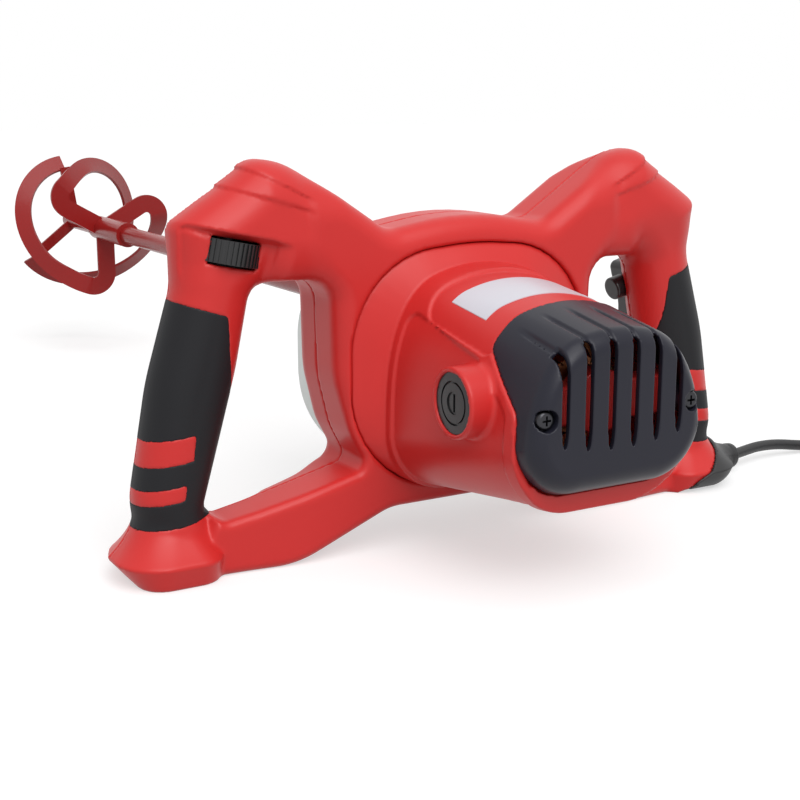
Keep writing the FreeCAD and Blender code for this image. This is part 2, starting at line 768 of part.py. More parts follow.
def motor_housing():
    """Barrel with its flange, brush bosses, stator seat and rear bearing bridge."""
    rim = inset(open_outline(), FIT_GAP)
    flange = prism(rim, -FLANGE_Y, 0)
    neck = barrel_section(BARREL_Y)
    hollow = between(neck, rim, 0.28)
    slope = loft([(neck, -BARREL_Y), (hollow, -(BARREL_Y + FLANGE_Y) / 2), (rim, -FLANGE_Y)])
    body = fuse([barrel(0), slope, flange])
    body = body.cut([window.cut(barrel(BAND_T)) for window in band_windows()])
    body = body.cut(side_prism(seam_profile(0), -BARREL_W, BARREL_W))
    for side in (1, -1):
        body = body.fuse(rod_x(BRUSH_BOSS_R, side * COMM_R * 1.6, side * BRUSH_BOSS_X, -BRUSH_Y, MOTOR_Z))
    body = body.cut(barrel(BARREL_WALL).cut(stator_seats()))
    body = body.cut(rod_y(STATOR_R + SEAT_GAP, -STATOR_Y - STATOR_L, 1))
    body = body.cut(rod_y(STATOR_R - 5, -2 * TAIL_Y, -STATOR_Y - STATOR_L + 1))
    bridge_y = -TAIL_Y + 4
    for side in (1, -1):
        column = rod_y(CAP_SCREW_RECESS_R + 1.8, -2 * TAIL_Y, bridge_y, side * CAP_SCREW_X, MOTOR_Z - 1)
        body = body.cut(column)
    hub_y = bridge_y + REAR_BEARING_W + 6
    wide = TAIL_W / 2 - 1.5
    narrow = TAIL_W / 2 - BARREL_WALL - 0.5
    step_z = MOTOR_Z - 2
    ends = box(-wide, wide, bridge_y, hub_y, MOTOR_Z - 9, step_z)
    middle = box(-narrow, narrow, bridge_y, hub_y, step_z, MOTOR_Z + 8)
    hub = rod_y(REAR_BEARING_R + 4, bridge_y, hub_y)
    body = body.fuse([ends, middle, hub])
    body = body.cut(rod_y(REAR_BEARING_R + SEAT_GAP, bridge_y + 4, hub_y + 1))
    body = body.cut(rod_y(REAR_BEARING_BORE + 2, -2 * TAIL_Y, hub_y))
    for side in (1, -1):
        seat_x = side * (BRUSH_BOSS_X - BRUSH_CAP_H)
        bore = rod_x(BRUSH_CAP_R + SEAT_GAP, seat_x, side * 2 * BRUSH_BOSS_X, -BRUSH_Y, MOTOR_Z)
        body = body.cut([bore, holder_block(side, 0)])
        body = body.cut(rod_y(SCREW_R + SEAT_GAP, bridge_y - 1, hub_y + 1, side * CAP_SCREW_X, MOTOR_Z - 1))
    for x, z in case_screw_places():
        body = body.cut(rod_y(CASE_SCREW_R + SEAT_GAP, -FLANGE_Y + 4, 1, x, z))
    return body.cut(label_seat()).removeSplitter()


def cap_section(t, d):
    """Outline of the rear cap, from its seam (t = 0) to its rear face (t = 1)."""
    y = SEAM_Y + (CAP_REAR_Y - SEAM_Y) * t
    width, low, high = barrel_size(SEAM_Y)
    width -= 2 + 5 * t
    high -= 1 + CAP_FALL * t
    low += CAP_LIFT + CAP_RISE * t
    section = crowned_box(width, low, high, CROWN_DROP, CROWN_R, BARREL_TOP_R - 2, BARREL_LOW_R - 7)
    return inset(section, d), -y


def cap_form(d):
    """Outside of the cap, or its inside a wall d further in, with a round rear edge."""
    form = loft([cap_section(1, d), cap_section(0, d)])
    form = form.common(box(-BARREL_W, BARREL_W, -CAP_REAR_Y + d, 0, 0, 2 * MOTOR_Z))
    rim = [e for e in form.Edges if e.BoundBox.YMax < -CAP_REAR_Y + d + 1e-3]
    return form.makeFillet(CAP_EDGE_R - d, rim)


def slot_outline(x):
    """Slot in the rear face: straight sides that run to a point at the lower end."""
    low = SLOT_LOW_Z + 0.0035 * x * x
    half = SLOT_W / 2
    high = MOTOR_Z + TAIL_W
    taper = low + SLOT_TAPER
    return [(x + half, high, 0.5), (x + half, taper, 30), (x + 0.6, low, 0.5), (x - 0.6, low, 0.5),
            (x - half, taper, 30), (x - half, high, 0.5)]


def rear_cap():
    """Air-inlet cap: a deep cup that steps over the barrel's end, with six slots."""
    outer = cap_form(0)
    kept = side_prism(seam_profile(0.2), -BARREL_W, BARREL_W)
    cap = outer.cut(cap_form(CAP_WALL)).common(kept)
    rear = -CAP_REAR_Y
    for side in (1, -1):
        x, z = side * CAP_SCREW_X, MOTOR_Z - 1
        column = rod_y(CAP_SCREW_RECESS_R + 1.5, rear + 1, -TAIL_Y + 4, x, z)
        cap = cap.fuse(column.common(outer))
        cap = cap.cut(rod_y(CAP_SCREW_RECESS_R, rear - 1, rear + 5, x, z))
        cap = cap.cut(rod_y(SCREW_R + 0.2, rear - 1, 0, x, z))
    skin = outer.cut(cap_form(GROOVE_T))
    top = cap_section(1, 0)[0][4][1]
    for i in range(SLOT_COUNT):
        x = (i - (SLOT_COUNT - 1) / 2) * SLOT_PITCH
        slot = prism(slot_outline(x), rear - 1, rear + CAP_WALL + 1)
        half = SLOT_W / 2 - 1
        groove = box(x - half, x + half, rear - 1, rear + GROOVE_L, MOTOR_Z + 20, top + CAP_EDGE_R)
        cap = cap.cut([slot, skin.common(groove)])
    return cap.removeSplitter()


def rear_cap_screws():
    seat = -CAP_REAR_Y + 5
    screws = []
    for side in (1, -1):
        x, z = side * CAP_SCREW_X, MOTOR_Z - 1
        head = rod_y(CAP_SCREW_RECESS_R - 0.8, seat - 3, seat, x, z)
        head = head.makeFillet(1.5, [e for e in head.Edges if e.BoundBox.YMax < seat - 3 + 1e-4])
        shank = rod_y(SCREW_R, seat, -TAIL_Y + 15, x, z)
        cross = box(x - 2.2, x + 2.2, seat - 4, seat - 1, z - 0.5, z + 0.5)
        cross = cross.fuse(box(x - 0.5, x + 0.5, seat - 4, seat - 1, z - 2.2, z + 2.2))
        screws.append(fuse([head, shank]).cut(cross))
    return screws


def label_sheet(gap):
    x0 = LABEL_X - LABEL_W / 2 - gap
    x1 = LABEL_X + LABEL_W / 2 + gap
    rear = -LABEL_FRONT - LABEL_L - gap
    return box(x0, x1, rear, -LABEL_FRONT + gap, MOTOR_Z + 20, BARREL_TOP + 9)


def label():
    """Bare plate in the sunk field on top of the barrel, following its crown."""
    return barrel(BAND_T - LABEL_T).cut(barrel(BAND_T)).common(label_sheet(0))


def label_seat():
    """Shallow recess that the plate is glued into."""
    return barrel(0).cut(barrel(BAND_T + LABEL_GAP)).common(label_sheet(LABEL_GAP))


def stator_core():
    """Lamination stack with its two pole bores and flux ring."""
    ring = tube_y(STATOR_R, STATOR_BORE, -STATOR_Y - STATOR_L, -STATOR_Y)
    windows = []
    for side in (1, -1):
        for sign in (1, -1):
            x0, x1 = sorted((side * 20, side * 35))
            z0, z1 = sorted((MOTOR_Z + sign * 8, MOTOR_Z + sign * 22))
            windows.append(box(x0, x1, -2 * TAIL_Y, 0, z0, z1))
    return ring.cut(windows)


def field_coils():
    """Two saddle coils, above and below the armature, through the stator's windows."""
    back = -STATOR_Y - STATOR_L
    spans = ((back - COIL_OVERHANG, back), (-STATOR_Y, -STATOR_Y + COIL_OVERHANG))
    coils = []
    for sign in (1, -1):
        z0, z1 = sorted((MOTOR_Z + sign * 8.5, MOTOR_Z + sign * 21.5))
        limbs = [box(x0, x0 + 10, spans[0][0], spans[1][1], z0, z1) for x0 in (-34.5, 24.5)]
        half = sorted((MOTOR_Z + sign * 8.5, MOTOR_Z + sign * 60))
        turns = []
        for y0, y1 in spans:
            arch = tube_y(35.5, STATOR_BORE + 2, y0, y1)
            turns.append(arch.common(box(-60, 60, y0, y1, half[0], half[1])))
        coils.append(fuse(limbs + turns))
    return coils


def holder_block(side, gap):
    """Outside of one brush holder, a brass box across the barrel wall."""
    half_w = BRUSH_W / 2 + HOLDER_WALL + gap
    half_h = BRUSH_H / 2 + HOLDER_WALL + gap
    x0, x1 = sorted((side * (COMM_R + 2), side * (BRUSH_BOSS_X - BRUSH_CAP_H)))
    return box(x0, x1, -BRUSH_Y - half_w, -BRUSH_Y + half_w, MOTOR_Z - half_h, MOTOR_Z + half_h)


def brush_slot(side):
    x0, x1 = sorted((side * COMM_R, side * 2 * BRUSH_BOSS_X))
    half_w, half_h = BRUSH_W / 2, BRUSH_H / 2
    return box(x0, x1, -BRUSH_Y - half_w, -BRUSH_Y + half_w, MOTOR_Z - half_h, MOTOR_Z + half_h)


def brush_holders():
    return [holder_block(side, 0).cut(brush_slot(side)) for side in (1, -1)]


def carbon_brushes():
    """One carbon each side, hollowed to the commutator and 0.3 mm clear of it."""
    brushes = []
    for side in (1, -1):
        x0, x1 = sorted((side * (COMM_R - 3), side * (COMM_R + BRUSH_L)))
        half_w, half_h = BRUSH_W / 2, BRUSH_H / 2
        block = box(x0, x1, -BRUSH_Y - half_w, -BRUSH_Y + half_w, MOTOR_Z - half_h, MOTOR_Z + half_h)
        brushes.append(block.cut(rod_y(COMM_R + 0.3, -2 * TAIL_Y, 0)))
    return brushes


def brush_springs():
    springs = []
    for side in (1, -1):
        x0 = side * (COMM_R + BRUSH_L)
        x1 = side * (BRUSH_BOSS_X - BRUSH_CAP_H)
        outer = rod_x(BRUSH_W / 2 - 0.4, x0, x1, -BRUSH_Y, MOTOR_Z)
        springs.append(outer.cut(rod_x(BRUSH_W / 2 - 1.4, x0, x1, -BRUSH_Y, MOTOR_Z)))
    return springs


def brush_caps():
    """Screw-in caps over the brushes, each with a ring groove and a driver slot."""
    caps = []
    for side in (1, -1):
        face = side * (BRUSH_BOSS_X - 1)
        x0 = side * (BRUSH_BOSS_X - BRUSH_CAP_H)
        cap = rod_x(BRUSH_CAP_R, x0, face, -BRUSH_Y, MOTOR_Z)
        groove = rod_x(10.2, face - side * 1.0, face + side, -BRUSH_Y, MOTOR_Z)
        groove = groove.cut(rod_x(9.2, face - side * 2, face + side, -BRUSH_Y, MOTOR_Z))
        disc = rod_x(5.2, face - side * 0.6, face + side, -BRUSH_Y, MOTOR_Z)
        low, high = sorted((face - side * 2.6, face + side))
        slot = box(low, high, -BRUSH_Y - 0.8, -BRUSH_Y + 0.8, MOTOR_Z - 4.2, MOTOR_Z + 4.2)
        caps.append(cap.cut([groove, disc, slot]))
    return caps


def bearing(outer, bore, y0, y1, z):
    """Ball bearing drawn as two races with shields between them."""
    mid = (outer + bore) / 2
    race = tube_y(outer, bore, y0, y1, 0, z)
    rear = tube_y(mid + 2, mid - 2, y0 - 1, y0 + 0.6, 0, z)
    front = tube_y(mid + 2, mid - 2, y1 - 0.6, y1 + 1, 0, z)
    return race.cut([rear, front])


REAR_BEARING_Y = -TAIL_Y + 8
FRONT_BEARING_Y = PLATE_T - 1.5 - FRONT_BEARING_W
GEAR_1_Y = PLATE_T + 4.0
GEAR_2_Y = GEAR_1_Y + GEAR_1_W + GEAR_GAP + 2
CASE_FRONT_Y = GEAR_2_Y + GEAR_2_W + 3
BEARING_A_Y = CASE_FRONT_Y
BEARING_B_Y = NECK_Y - BEARING_B_W - 5
COUNTER_1 = MODULE_1 * (PINION_1 + GEAR_1) / 2
COUNTER_2 = MODULE_2 * (PINION_2 + GEAR_2) / 2
COUNTER_DZ = (COUNTER_1 ** 2 - COUNTER_2 ** 2 + SPINDLE_RISE ** 2) / (2 * SPINDLE_RISE)
COUNTER_X = math.sqrt(COUNTER_1 ** 2 - COUNTER_DZ ** 2)
COUNTER_Z = MOTOR_Z + COUNTER_DZ


def armature_shaft():
    """Motor shaft: rear journal, core seat, and a front end that carries the pinion."""
    rear = rod_y(REAR_BEARING_BORE - RUN_GAP, REAR_BEARING_Y - 1, REAR_BEARING_Y + REAR_BEARING_W + 1)
    main = rod_y(SHAFT_R - RUN_GAP, REAR_BEARING_Y + REAR_BEARING_W + 0.6, PLATE_T + 1)
    front = rod_y(PINION_1 * MODULE_1 / 2 - 2, PLATE_T, GEAR_1_Y + GEAR_1_W + 1)
    return fuse([rear, main, front])


def on_shaft(shape):
    return shape.cut(rod_y(SHAFT_R - RUN_GAP + SEAT_GAP, -2 * TAIL_Y, 2 * TAIL_Y))


def armature_core():
    """Laminated core with twelve winding slots."""
    core = rod_y(CORE_R, -STATOR_Y - STATOR_L, -STATOR_Y)
    slots = []
    for i in range(12):
        slot = box(-1.4, 1.4, -2 * TAIL_Y, 0, CORE_R - 6, CORE_R + 2)
        slots.append(placed(slot, 30.0 * i, 0, 0, MOTOR_Z))
    return on_shaft(core.cut(slots))


def armature_winding():
    """End turns at both ends of the core."""
    back = -STATOR_Y - STATOR_L
    ends = []
    ends.append(cone_y(COMM_R - 2, CORE_R - 2, -BRUSH_Y + COMM_L / 2, back))
    ends.append(cone_y(CORE_R - 2, COMM_R - 3, -STATOR_Y, -STATOR_Y + COIL_OVERHANG - 3))
    return [on_shaft(end) for end in ends]


def commutator():
    """Copper bars round the shaft, parted by thin slots."""
    y0 = -BRUSH_Y - COMM_L / 2
    body = rod_y(COMM_R, y0, y0 + COMM_L)
    slots = []
    for i in range(24):
        slot = box(-0.35, 0.35, y0 - 1, y0 + COMM_L - 5, COMM_R - 2, COMM_R + 1)
        slots.append(placed(slot, 15.0 * i, 0, 0, MOTOR_Z))
    return on_shaft(body.cut(slots))


def cooling_fan():
    """Radial fan behind the gear plate: a disc with straight blades on its rear side."""
    front = FRONT_BEARING_Y - 2.5
    disc = rod_y(FAN_R, front - 2, front)
    hub = rod_y(SHAFT_R + 4, front - FAN_L, front)
    blades = []
    for i in range(FAN_BLADES):
        blade = box(-0.9, 0.9, front - FAN_L + 3, front - 1.5, SHAFT_R + 3, FAN_R - 1)
        blades.append(placed(blade, 360.0 * i / FAN_BLADES, 0, 0, MOTOR_Z))
    return on_shaft(fuse([disc, hub] + blades))


def involute(base, radius):
    """Polar angle an involute has swept when it reaches a radius."""
    ratio = max(radius / base, 1.0)
    tangent = math.sqrt(ratio * ratio - 1)
    return tangent - math.atan(tangent)


def gear(teeth, module, shift, y0, width, x, z, aim):
    """Spur gear with involute teeth; one tooth points along the angle aim, in radians."""
    pitch = module * teeth / 2
    base = pitch * math.cos(math.radians(20))
    tip = pitch + module * (0.95 + shift)
    root = pitch - module * (1.2 - shift)
    thick = math.pi * module / 2 + 2 * shift * module * math.tan(math.radians(20)) - BACKLASH / 2
    half = thick / (2 * pitch) + involute(base, pitch)
    start = max(base, root)
    radii = [start + (tip - start) * k / 4 for k in range(5)]
    corners = []
    for tooth in range(teeth):
        middle = aim + 2 * math.pi * tooth / teeth
        flank = [(r, half - involute(base, r)) for r in radii]
        rise = [(root, flank[0][1])] + flank if root < start else flank
        for r, a in rise:
            corners.append((r, middle - a))
        for r, a in reversed(rise):
            corners.append((r, middle + a))
    points = [V(x + r * math.cos(a), y0, z + r * math.sin(a)) for r, a in corners]
    return Part.Face(Part.makePolygon(points + points[:1])).extrude(V(0, width, 0))


AIM_1 = math.atan2(COUNTER_DZ, COUNTER_X)
AIM_2 = math.atan2(COUNTER_Z - SPINDLE_Z, COUNTER_X)


def motor_pinion():
    blank = gear(PINION_1, MODULE_1, PROFILE_SHIFT, GEAR_1_Y - 1, GEAR_1_W + 2, 0, MOTOR_Z, AIM_1)
    return blank.cut(rod_y(PINION_1 * MODULE_1 / 2 - 2 + SEAT_GAP, -TAIL_Y, TAIL_Y))


def first_gear():
    """Large gear of the first stage, a gap of its teeth facing the motor pinion."""
    aim = AIM_1 + math.pi + math.pi / GEAR_1
    wheel = gear(GEAR_1, MODULE_1, -PROFILE_SHIFT, GEAR_1_Y, GEAR_1_W, COUNTER_X, COUNTER_Z, aim)
    return wheel.cut(rod_y(COUNTER_R + 1 + SEAT_GAP, 0, NECK_Y, COUNTER_X, COUNTER_Z))


def countershaft():
    """Countershaft with the second-stage pinion cut on it."""
    x, z = COUNTER_X, COUNTER_Z
    rear_y = PLATE_T - BUSH_L + 1.5
    front_y = CASE_FRONT_Y + BUSH_L - 1.5
    journal = rod_y(COUNTER_R - RUN_GAP, rear_y, front_y, x, z)
    seat = rod_y(COUNTER_R + 1, GEAR_1_Y - 2, GEAR_1_Y + GEAR_1_W, x, z)
    aim = AIM_2 + math.pi + math.pi / PINION_2
    start = GEAR_1_Y + GEAR_1_W
    pinion = gear(PINION_2, MODULE_2, PROFILE_SHIFT, start, GEAR_2_Y + GEAR_2_W + 1 - start, x, z, aim)
    return fuse([journal, seat, pinion])


def output_gear():
    wheel = gear(GEAR_2, MODULE_2, -PROFILE_SHIFT, GEAR_2_Y, GEAR_2_W, 0, SPINDLE_Z, AIM_2)
    wheel = wheel.cut(rod_y(SPINDLE_R + SEAT_GAP, 0, NECK_Y, 0, SPINDLE_Z))
    return wheel.cut(key_box())


def key_box():
    y0 = GEAR_2_Y + 2
    return box(-2.5, 2.5, y0, GEAR_2_Y + GEAR_2_W - 2, SPINDLE_Z + SPINDLE_R - 2.5, SPINDLE_Z + SPINDLE_R + 2)


def spindle():
    """Output spindle: gear seat, bearing seats, shoulder and threaded nose."""
    z = SPINDLE_Z
    main = rod_y(SPINDLE_R, GEAR_2_Y - 4, NECK_Y + NOSE_GAP, 0, z)
    shoulder = rod_y(SPINDLE_R + 2.5, BEARING_A_Y + BEARING_A_W + 0.5, BEARING_B_Y - 0.5, 0, z)
    nose = rod_y(NOSE_R, NECK_Y + NOSE_GAP, NECK_Y + NOSE_GAP + NOSE_L, 0, z)
    flats = []
    for side in (1, -1):
        x0, x1 = sorted((side * (NOSE_R - 1.5), side * 2 * NOSE_R))
        flats.append(box(x0, x1, NECK_Y + 6, NECK_Y + 18, z - NOSE_R, z + NOSE_R))
    nose = nose.cut(flats)
    body = fuse([main, shoulder, nose])
    body = body.cut(rod_y(THREAD_R, NECK_Y + NOSE_GAP + 5, 2 * NECK_Y, 0, z))
    groove = tube_y(SPINDLE_R + 1, SPINDLE_R - 1, GEAR_2_Y - 2.2, GEAR_2_Y - 0.8, 0, z)
    return body.cut([key_box(), groove])


def gear_circlip():
    ring = tube_y(SPINDLE_R + 2.5, SPINDLE_R - 1, GEAR_2_Y - 2.2, GEAR_2_Y - 0.8, 0, SPINDLE_Z)
    return ring.cut(box(-3, 3, 0, NECK_Y, SPINDLE_Z, SPINDLE_Z + 2 * SPINDLE_R))


def gear_plate():
    """Plate between motor and gears; it carries the front motor bearing and a bush."""
    plate = prism(inset(open_outline(), FIT_GAP), 0, PLATE_T)
    hub = rod_y(FRONT_BEARING_R + 4, FRONT_BEARING_Y, PLATE_T)
    seat = rod_y(BUSH_R + 3, PLATE_T - BUSH_L, PLATE_T, COUNTER_X, COUNTER_Z)
    body = fuse([plate, hub, seat])
    body = body.cut(rod_y(FRONT_BEARING_R + SEAT_GAP, FRONT_BEARING_Y - 1, PLATE_T - 1.5))
    body = body.cut(rod_y(SHAFT_R + 3, -TAIL_Y, TAIL_Y))
    body = body.cut(rod_y(BUSH_R + SEAT_GAP, PLATE_T - BUSH_L + 1, NECK_Y, COUNTER_X, COUNTER_Z))
    for x, z in case_screw_places():
        body = body.cut(rod_y(CASE_SCREW_R + 0.2, -1, NECK_Y, x, z))
    return body


def gear_case():
    """Cast case: flange in the frame's ring, gear room, and a conical neck for the spindle."""
    high = SPINDLE_Z + MODULE_2 * GEAR_2 / 2 + 3 + CASE_WALL
    low = high - CASE_H
    flange = prism(inset(open_outline(), FIT_GAP), PLATE_T, CASE_FLANGE_Y)
    section = rounded_box(CASE_W, low, high, CASE_R, CASE_LOW_R)
    room = prism(section, CASE_FLANGE_Y - 1, CASE_FRONT_Y + 1)
    neck_base = min(SPINDLE_Z - low, high - SPINDLE_Z) - 1
    neck = cone_y(neck_base, NECK_R, CASE_FRONT_Y, NECK_Y, 0, SPINDLE_Z)
    boss = rod_y(BUSH_R + 5, CASE_FRONT_Y, CASE_FRONT_Y + BUSH_L + 2, COUNTER_X, COUNTER_Z)
    case = fuse([flange, room, neck, boss])
    inner = inset(section, CASE_WALL)
    case = case.cut(prism(inner, PLATE_T - 1, CASE_FRONT_Y - CASE_WALL))
    gear_room = rod_y(COUNTER_2 - 2, PLATE_T - 1, CASE_FRONT_Y, 0, SPINDLE_Z)
    case = case.cut(gear_room.common(prism(inner, PLATE_T - 1, CASE_FRONT_Y + 1)))
    z = SPINDLE_Z
    seat_y = CASE_FRONT_Y - CASE_WALL - 1
    case = case.cut(rod_y(BEARING_A_R + SEAT_GAP, seat_y, BEARING_A_Y + BEARING_A_W, 0, z))
    case = case.cut(rod_y(SPINDLE_R + 4, CASE_FRONT_Y, NECK_Y + 1, 0, z))
    case = case.cut(rod_y(BEARING_B_R + SEAT_GAP, BEARING_B_Y, NECK_Y + 1, 0, z))
    case = case.cut(rod_y(BUSH_R + SEAT_GAP, seat_y, CASE_FRONT_Y + BUSH_L - 1, COUNTER_X, COUNTER_Z))
    for x, sz in case_screw_places():
        case = case.cut(rod_y(CASE_SCREW_R + 0.2, 0, NECK_Y, x, sz))
        case = case.cut(rod_y(CASE_SCREW_HEAD_R + FIT_GAP, CASE_FLANGE_Y, CASE_FLANGE_Y + 20, x, sz))
    return case


def gear_case_screws():
    """Four long screws through case and plate into the motor housing's flange."""
    screws = []
    for x, z in case_screw_places():
        head = rod_y(CASE_SCREW_HEAD_R, CASE_FLANGE_Y, CASE_FLANGE_Y + CASE_SCREW_HEAD_H, x, z)
        shank = rod_y(CASE_SCREW_R, -FLANGE_Y + 5, CASE_FLANGE_Y, x, z)
        socket = rod_y(2.2, CASE_FLANGE_Y + 1.5, CASE_FLANGE_Y + 9, x, z)
        screws.append(fuse([head, shank]).cut(socket))
    return screws


def countershaft_bushes():
    x, z = COUNTER_X, COUNTER_Z
    rear = tube_y(BUSH_R, COUNTER_R, PLATE_T - BUSH_L + 1, PLATE_T + 1, x, z)
    front = tube_y(BUSH_R, COUNTER_R, CASE_FRONT_Y - 1, CASE_FRONT_Y + BUSH_L - 1, x, z)
    return [rear, front]


def spindle_bearings():
    bore = SPINDLE_R + RUN_GAP
    rear = bearing(BEARING_A_R, bore, BEARING_A_Y, BEARING_A_Y + BEARING_A_W, SPINDLE_Z)
    front = bearing(BEARING_B_R, bore, BEARING_B_Y, BEARING_B_Y + BEARING_B_W, SPINDLE_Z)
    return [rear, front]


def spindle_seal():
    """Lip seal between the front bearing and the open end of the neck."""
    return tube_y(BEARING_B_R, SPINDLE_R + RUN_GAP, BEARING_B_Y + BEARING_B_W, NECK_Y - 1, 0, SPINDLE_Z)


ROD_Y = NECK_Y + NOSE_GAP + NOSE_L


def paddle_rod():
    """Tube of the paddle, with the solid threaded end that screws into the spindle."""
    z = SPINDLE_Z
    stub = rod_y(THREAD_R - RUN_GAP, ROD_Y - NOSE_L + 9, ROD_Y + HEX_H + 6, 0, z)
    tube = tube_y(ROD_R, ROD_BORE, ROD_Y + HEX_H + 4, PADDLE_END_Y - 3, 0, z)
    end = rod_y(ROD_R, PADDLE_END_Y - 4, PADDLE_END_Y, 0, z)
    return fuse([stub, tube, end])


def paddle_nut():
    """Hexagon collar on the rod, tight against the spindle's nose."""
    corners = []
    for i in range(6):
        angle = math.radians(60 * i)
        radius = HEX_AF / math.sqrt(3)
        corners.append(V(radius * math.cos(angle), ROD_Y, SPINDLE_Z + radius * math.sin(angle)))
    nut = Part.Face(Part.makePolygon(corners + corners[:1])).extrude(V(0, HEX_H, 0))
    return nut.cut(rod_y(THREAD_R, 0, 2 * ROD_Y, 0, SPINDLE_Z))


def paddle_hub():
    """Welded sleeve that carries the near arms."""
    return tube_y(HUB_R, ROD_R + SEAT_GAP, HUB_START_Y, ARM_NEAR_Y + BLADE_W, 0, SPINDLE_Z)


def paddle_arm(y, angle, inner, reach, width):
    """Flat radial bar from the rod or hub to a blade."""
    bar = box(inner - 3, reach, y - BLADE_T / 2, y + BLADE_T / 2, -width / 2, width / 2)
    bore = rod_y(inner + SEAT_GAP, 0, 2 * PADDLE_END_Y, 0, SPINDLE_Z)
    return placed(bar, -angle, 0, 0, SPINDLE_Z).cut(bore)


def blade_lean(t):
    """Tilt of the ribbon out of the arm's plane, in radians: flat at the arm, then leaning."""
    rise = min(t / 0.3, 1.0)
    return math.radians(BLADE_LEAN) * rise * rise * (3 - 2 * rise)


ELBOW_REACH = PADDLE_R - BLADE_W - ELBOW_R
ELBOW_SIDE = BLADE_W / 2 + ELBOW_R
ELBOW_ANGLE = math.asin(ELBOW_SIDE / ELBOW_REACH)
ELBOW_X = ELBOW_REACH * math.cos(ELBOW_ANGLE)


def paddle_elbow(angle):
    """Flat bend from a near arm into its ribbon."""
    y0, y1 = ARM_NEAR_Y - BLADE_T / 2, ARM_NEAR_Y + BLADE_T / 2
    ring = tube_y(ELBOW_R + BLADE_W, ELBOW_R, y0, y1, ELBOW_X, -ELBOW_SIDE)
    far = 2 * PADDLE_R
    centre = V(ELBOW_X, y0, -ELBOW_SIDE)
    along = V(math.cos(ELBOW_ANGLE), 0, -math.sin(ELBOW_ANGLE))
    corners = [centre, centre + V(0, 0, far), centre + V(far, 0, far), centre + along * far]
    wedge = Part.Face(Part.makePolygon(corners + corners[:1])).extrude(V(0, BLADE_T, 0))
    return placed(ring.common(wedge), -angle, 0, 0, SPINDLE_Z)


def paddle_blade(angle):
    """Ribbon at the paddle's rim, winding from the bend of a near arm to a far arm."""
    sections = []
    steps = 16
    start = math.degrees(ELBOW_ANGLE)
    for k in range(steps + 1):
        t = k / steps
        lean = blade_lean(t)
        rise = t * t * (1 + BLADE_EASE) / (t + BLADE_EASE)
        y = ARM_NEAR_Y + (ARM_FAR_Y - ARM_NEAR_Y) * (1 - (1 - rise) ** 2)
        phi = math.radians(angle - start - (BLADE_TURN - start) * t)
        middle = PADDLE_R - BLADE_W / 2 * math.cos(lean)
        corners = []
        for a, b in ((-1, -1), (1, -1), (1, 1), (-1, 1)):
            radius = middle + a * BLADE_W / 2 * math.cos(lean) - b * BLADE_T / 2 * math.sin(lean)
            along = y + a * BLADE_W / 2 * math.sin(lean) + b * BLADE_T / 2 * math.cos(lean)
            corners.append(V(radius * math.cos(phi), along, SPINDLE_Z + radius * math.sin(phi)))
        sections.append(Part.makePolygon(corners + corners[:1]))
    return Part.makeLoft(sections, True, False).fuse(paddle_elbow(angle))


def blade_angles():
    return [BLADE_PHASE + 120 * i for i in range(3)]


def paddle_blades():
    return [paddle_blade(angle) for angle in blade_angles()]


def paddle_arms(blades):
    """Three near arms on the hub and three far arms on the rod, cut to the blades."""
    arms = []
    lean = blade_lean(1.0)
    far_reach = PADDLE_R - BLADE_W * math.cos(lean) + 2
    far_y = ARM_FAR_Y - BLADE_W / 2 * math.sin(lean)
    for angle in blade_angles():
        arms.append(paddle_arm(ARM_NEAR_Y, angle, HUB_R, ELBOW_X, BLADE_W))
        arms.append(paddle_arm(far_y, angle - BLADE_TURN, ROD_R, far_reach, FAR_ARM_W))
    cut = [arm.cut(blades) for arm in arms]
    return [max(arm.Solids, key=lambda solid: solid.Volume) for arm in cut]


def cable_boot(cord, body):
    """Rubber boot: it forms the outer end of the right foot and narrows to a collar."""
    base = foot(1, 0).common(boot_zone())
    axis = (CORD_OUT - CORD_IN).normalize()
    bulb_l = FOOT_X + BOOT_TIP - CORD_IN.x
    bulb = Part.makeCone(BOOT_R, BOOT_NECK_R, bulb_l, CORD_IN, axis)
    collar = Part.makeCylinder(BOOT_COLLAR_R, BOOT_COLLAR_L, CORD_IN + axis * (bulb_l - BOOT_COLLAR_L), axis)
    floor = box(0, 2 * FOOT_X, -FOOT_X, FOOT_X, -FOOT_X, 0)
    outside = fuse([bulb, collar]).cut([floor, body.cut(boot_zone())])
    return max(fuse([base, outside]).cut(cord).Solids, key=lambda solid: solid.Volume)


COIL_START_R = COIL_MEAN_R + COIL_TURNS * COIL_PITCH / 2


def cord_route():
    """Points chosen by hand, from the clamp through the boot and along the floor to the coil."""
    start = V(COIL_X, COIL_Y + COIL_START_R, CORD_R)
    return [
        CORD_START,
        CORD_NEXT,
        V(185, -3.0, 10.7),
        CORD_OUT,
        V(220, 3.4, 8.6),
        V(234, 6.6, 8.9),
        V(252, 8.0, 7.8),
        V(269, 5.8, 5.2),
        V(286, 2.8, 3.6),
        V(302, 1.2, 3.25),
        start - V(2 * CORD_R, 0, 0),
        start,
    ]


def cord_path(points):
    """Straight runs joined by the largest tangent arcs that the runs allow."""
    edges = []
    radii = []
    last = points[0]
    for before, corner, after in zip(points, points[1:], points[2:]):
        u = (corner - before).normalize()
        w = (after - corner).normalize()
        reach = 0.45 * min(corner.distanceToPoint(before), corner.distanceToPoint(after))
        turn = u.getAngle(w)
        bend = reach / math.tan(turn / 2)
        radii.append(round(bend))
        start = corner - u * reach
        end = corner + w * reach
        mid = corner + (w - u).normalize() * (bend / math.cos(turn / 2) - bend)
        edges.append(Part.LineSegment(last, start).toShape())
        edges.append(Part.Arc(start, mid, end).toShape())
        last = end
    edges.append(Part.LineSegment(last, points[-1]).toShape())
    return Part.Wire(edges), radii


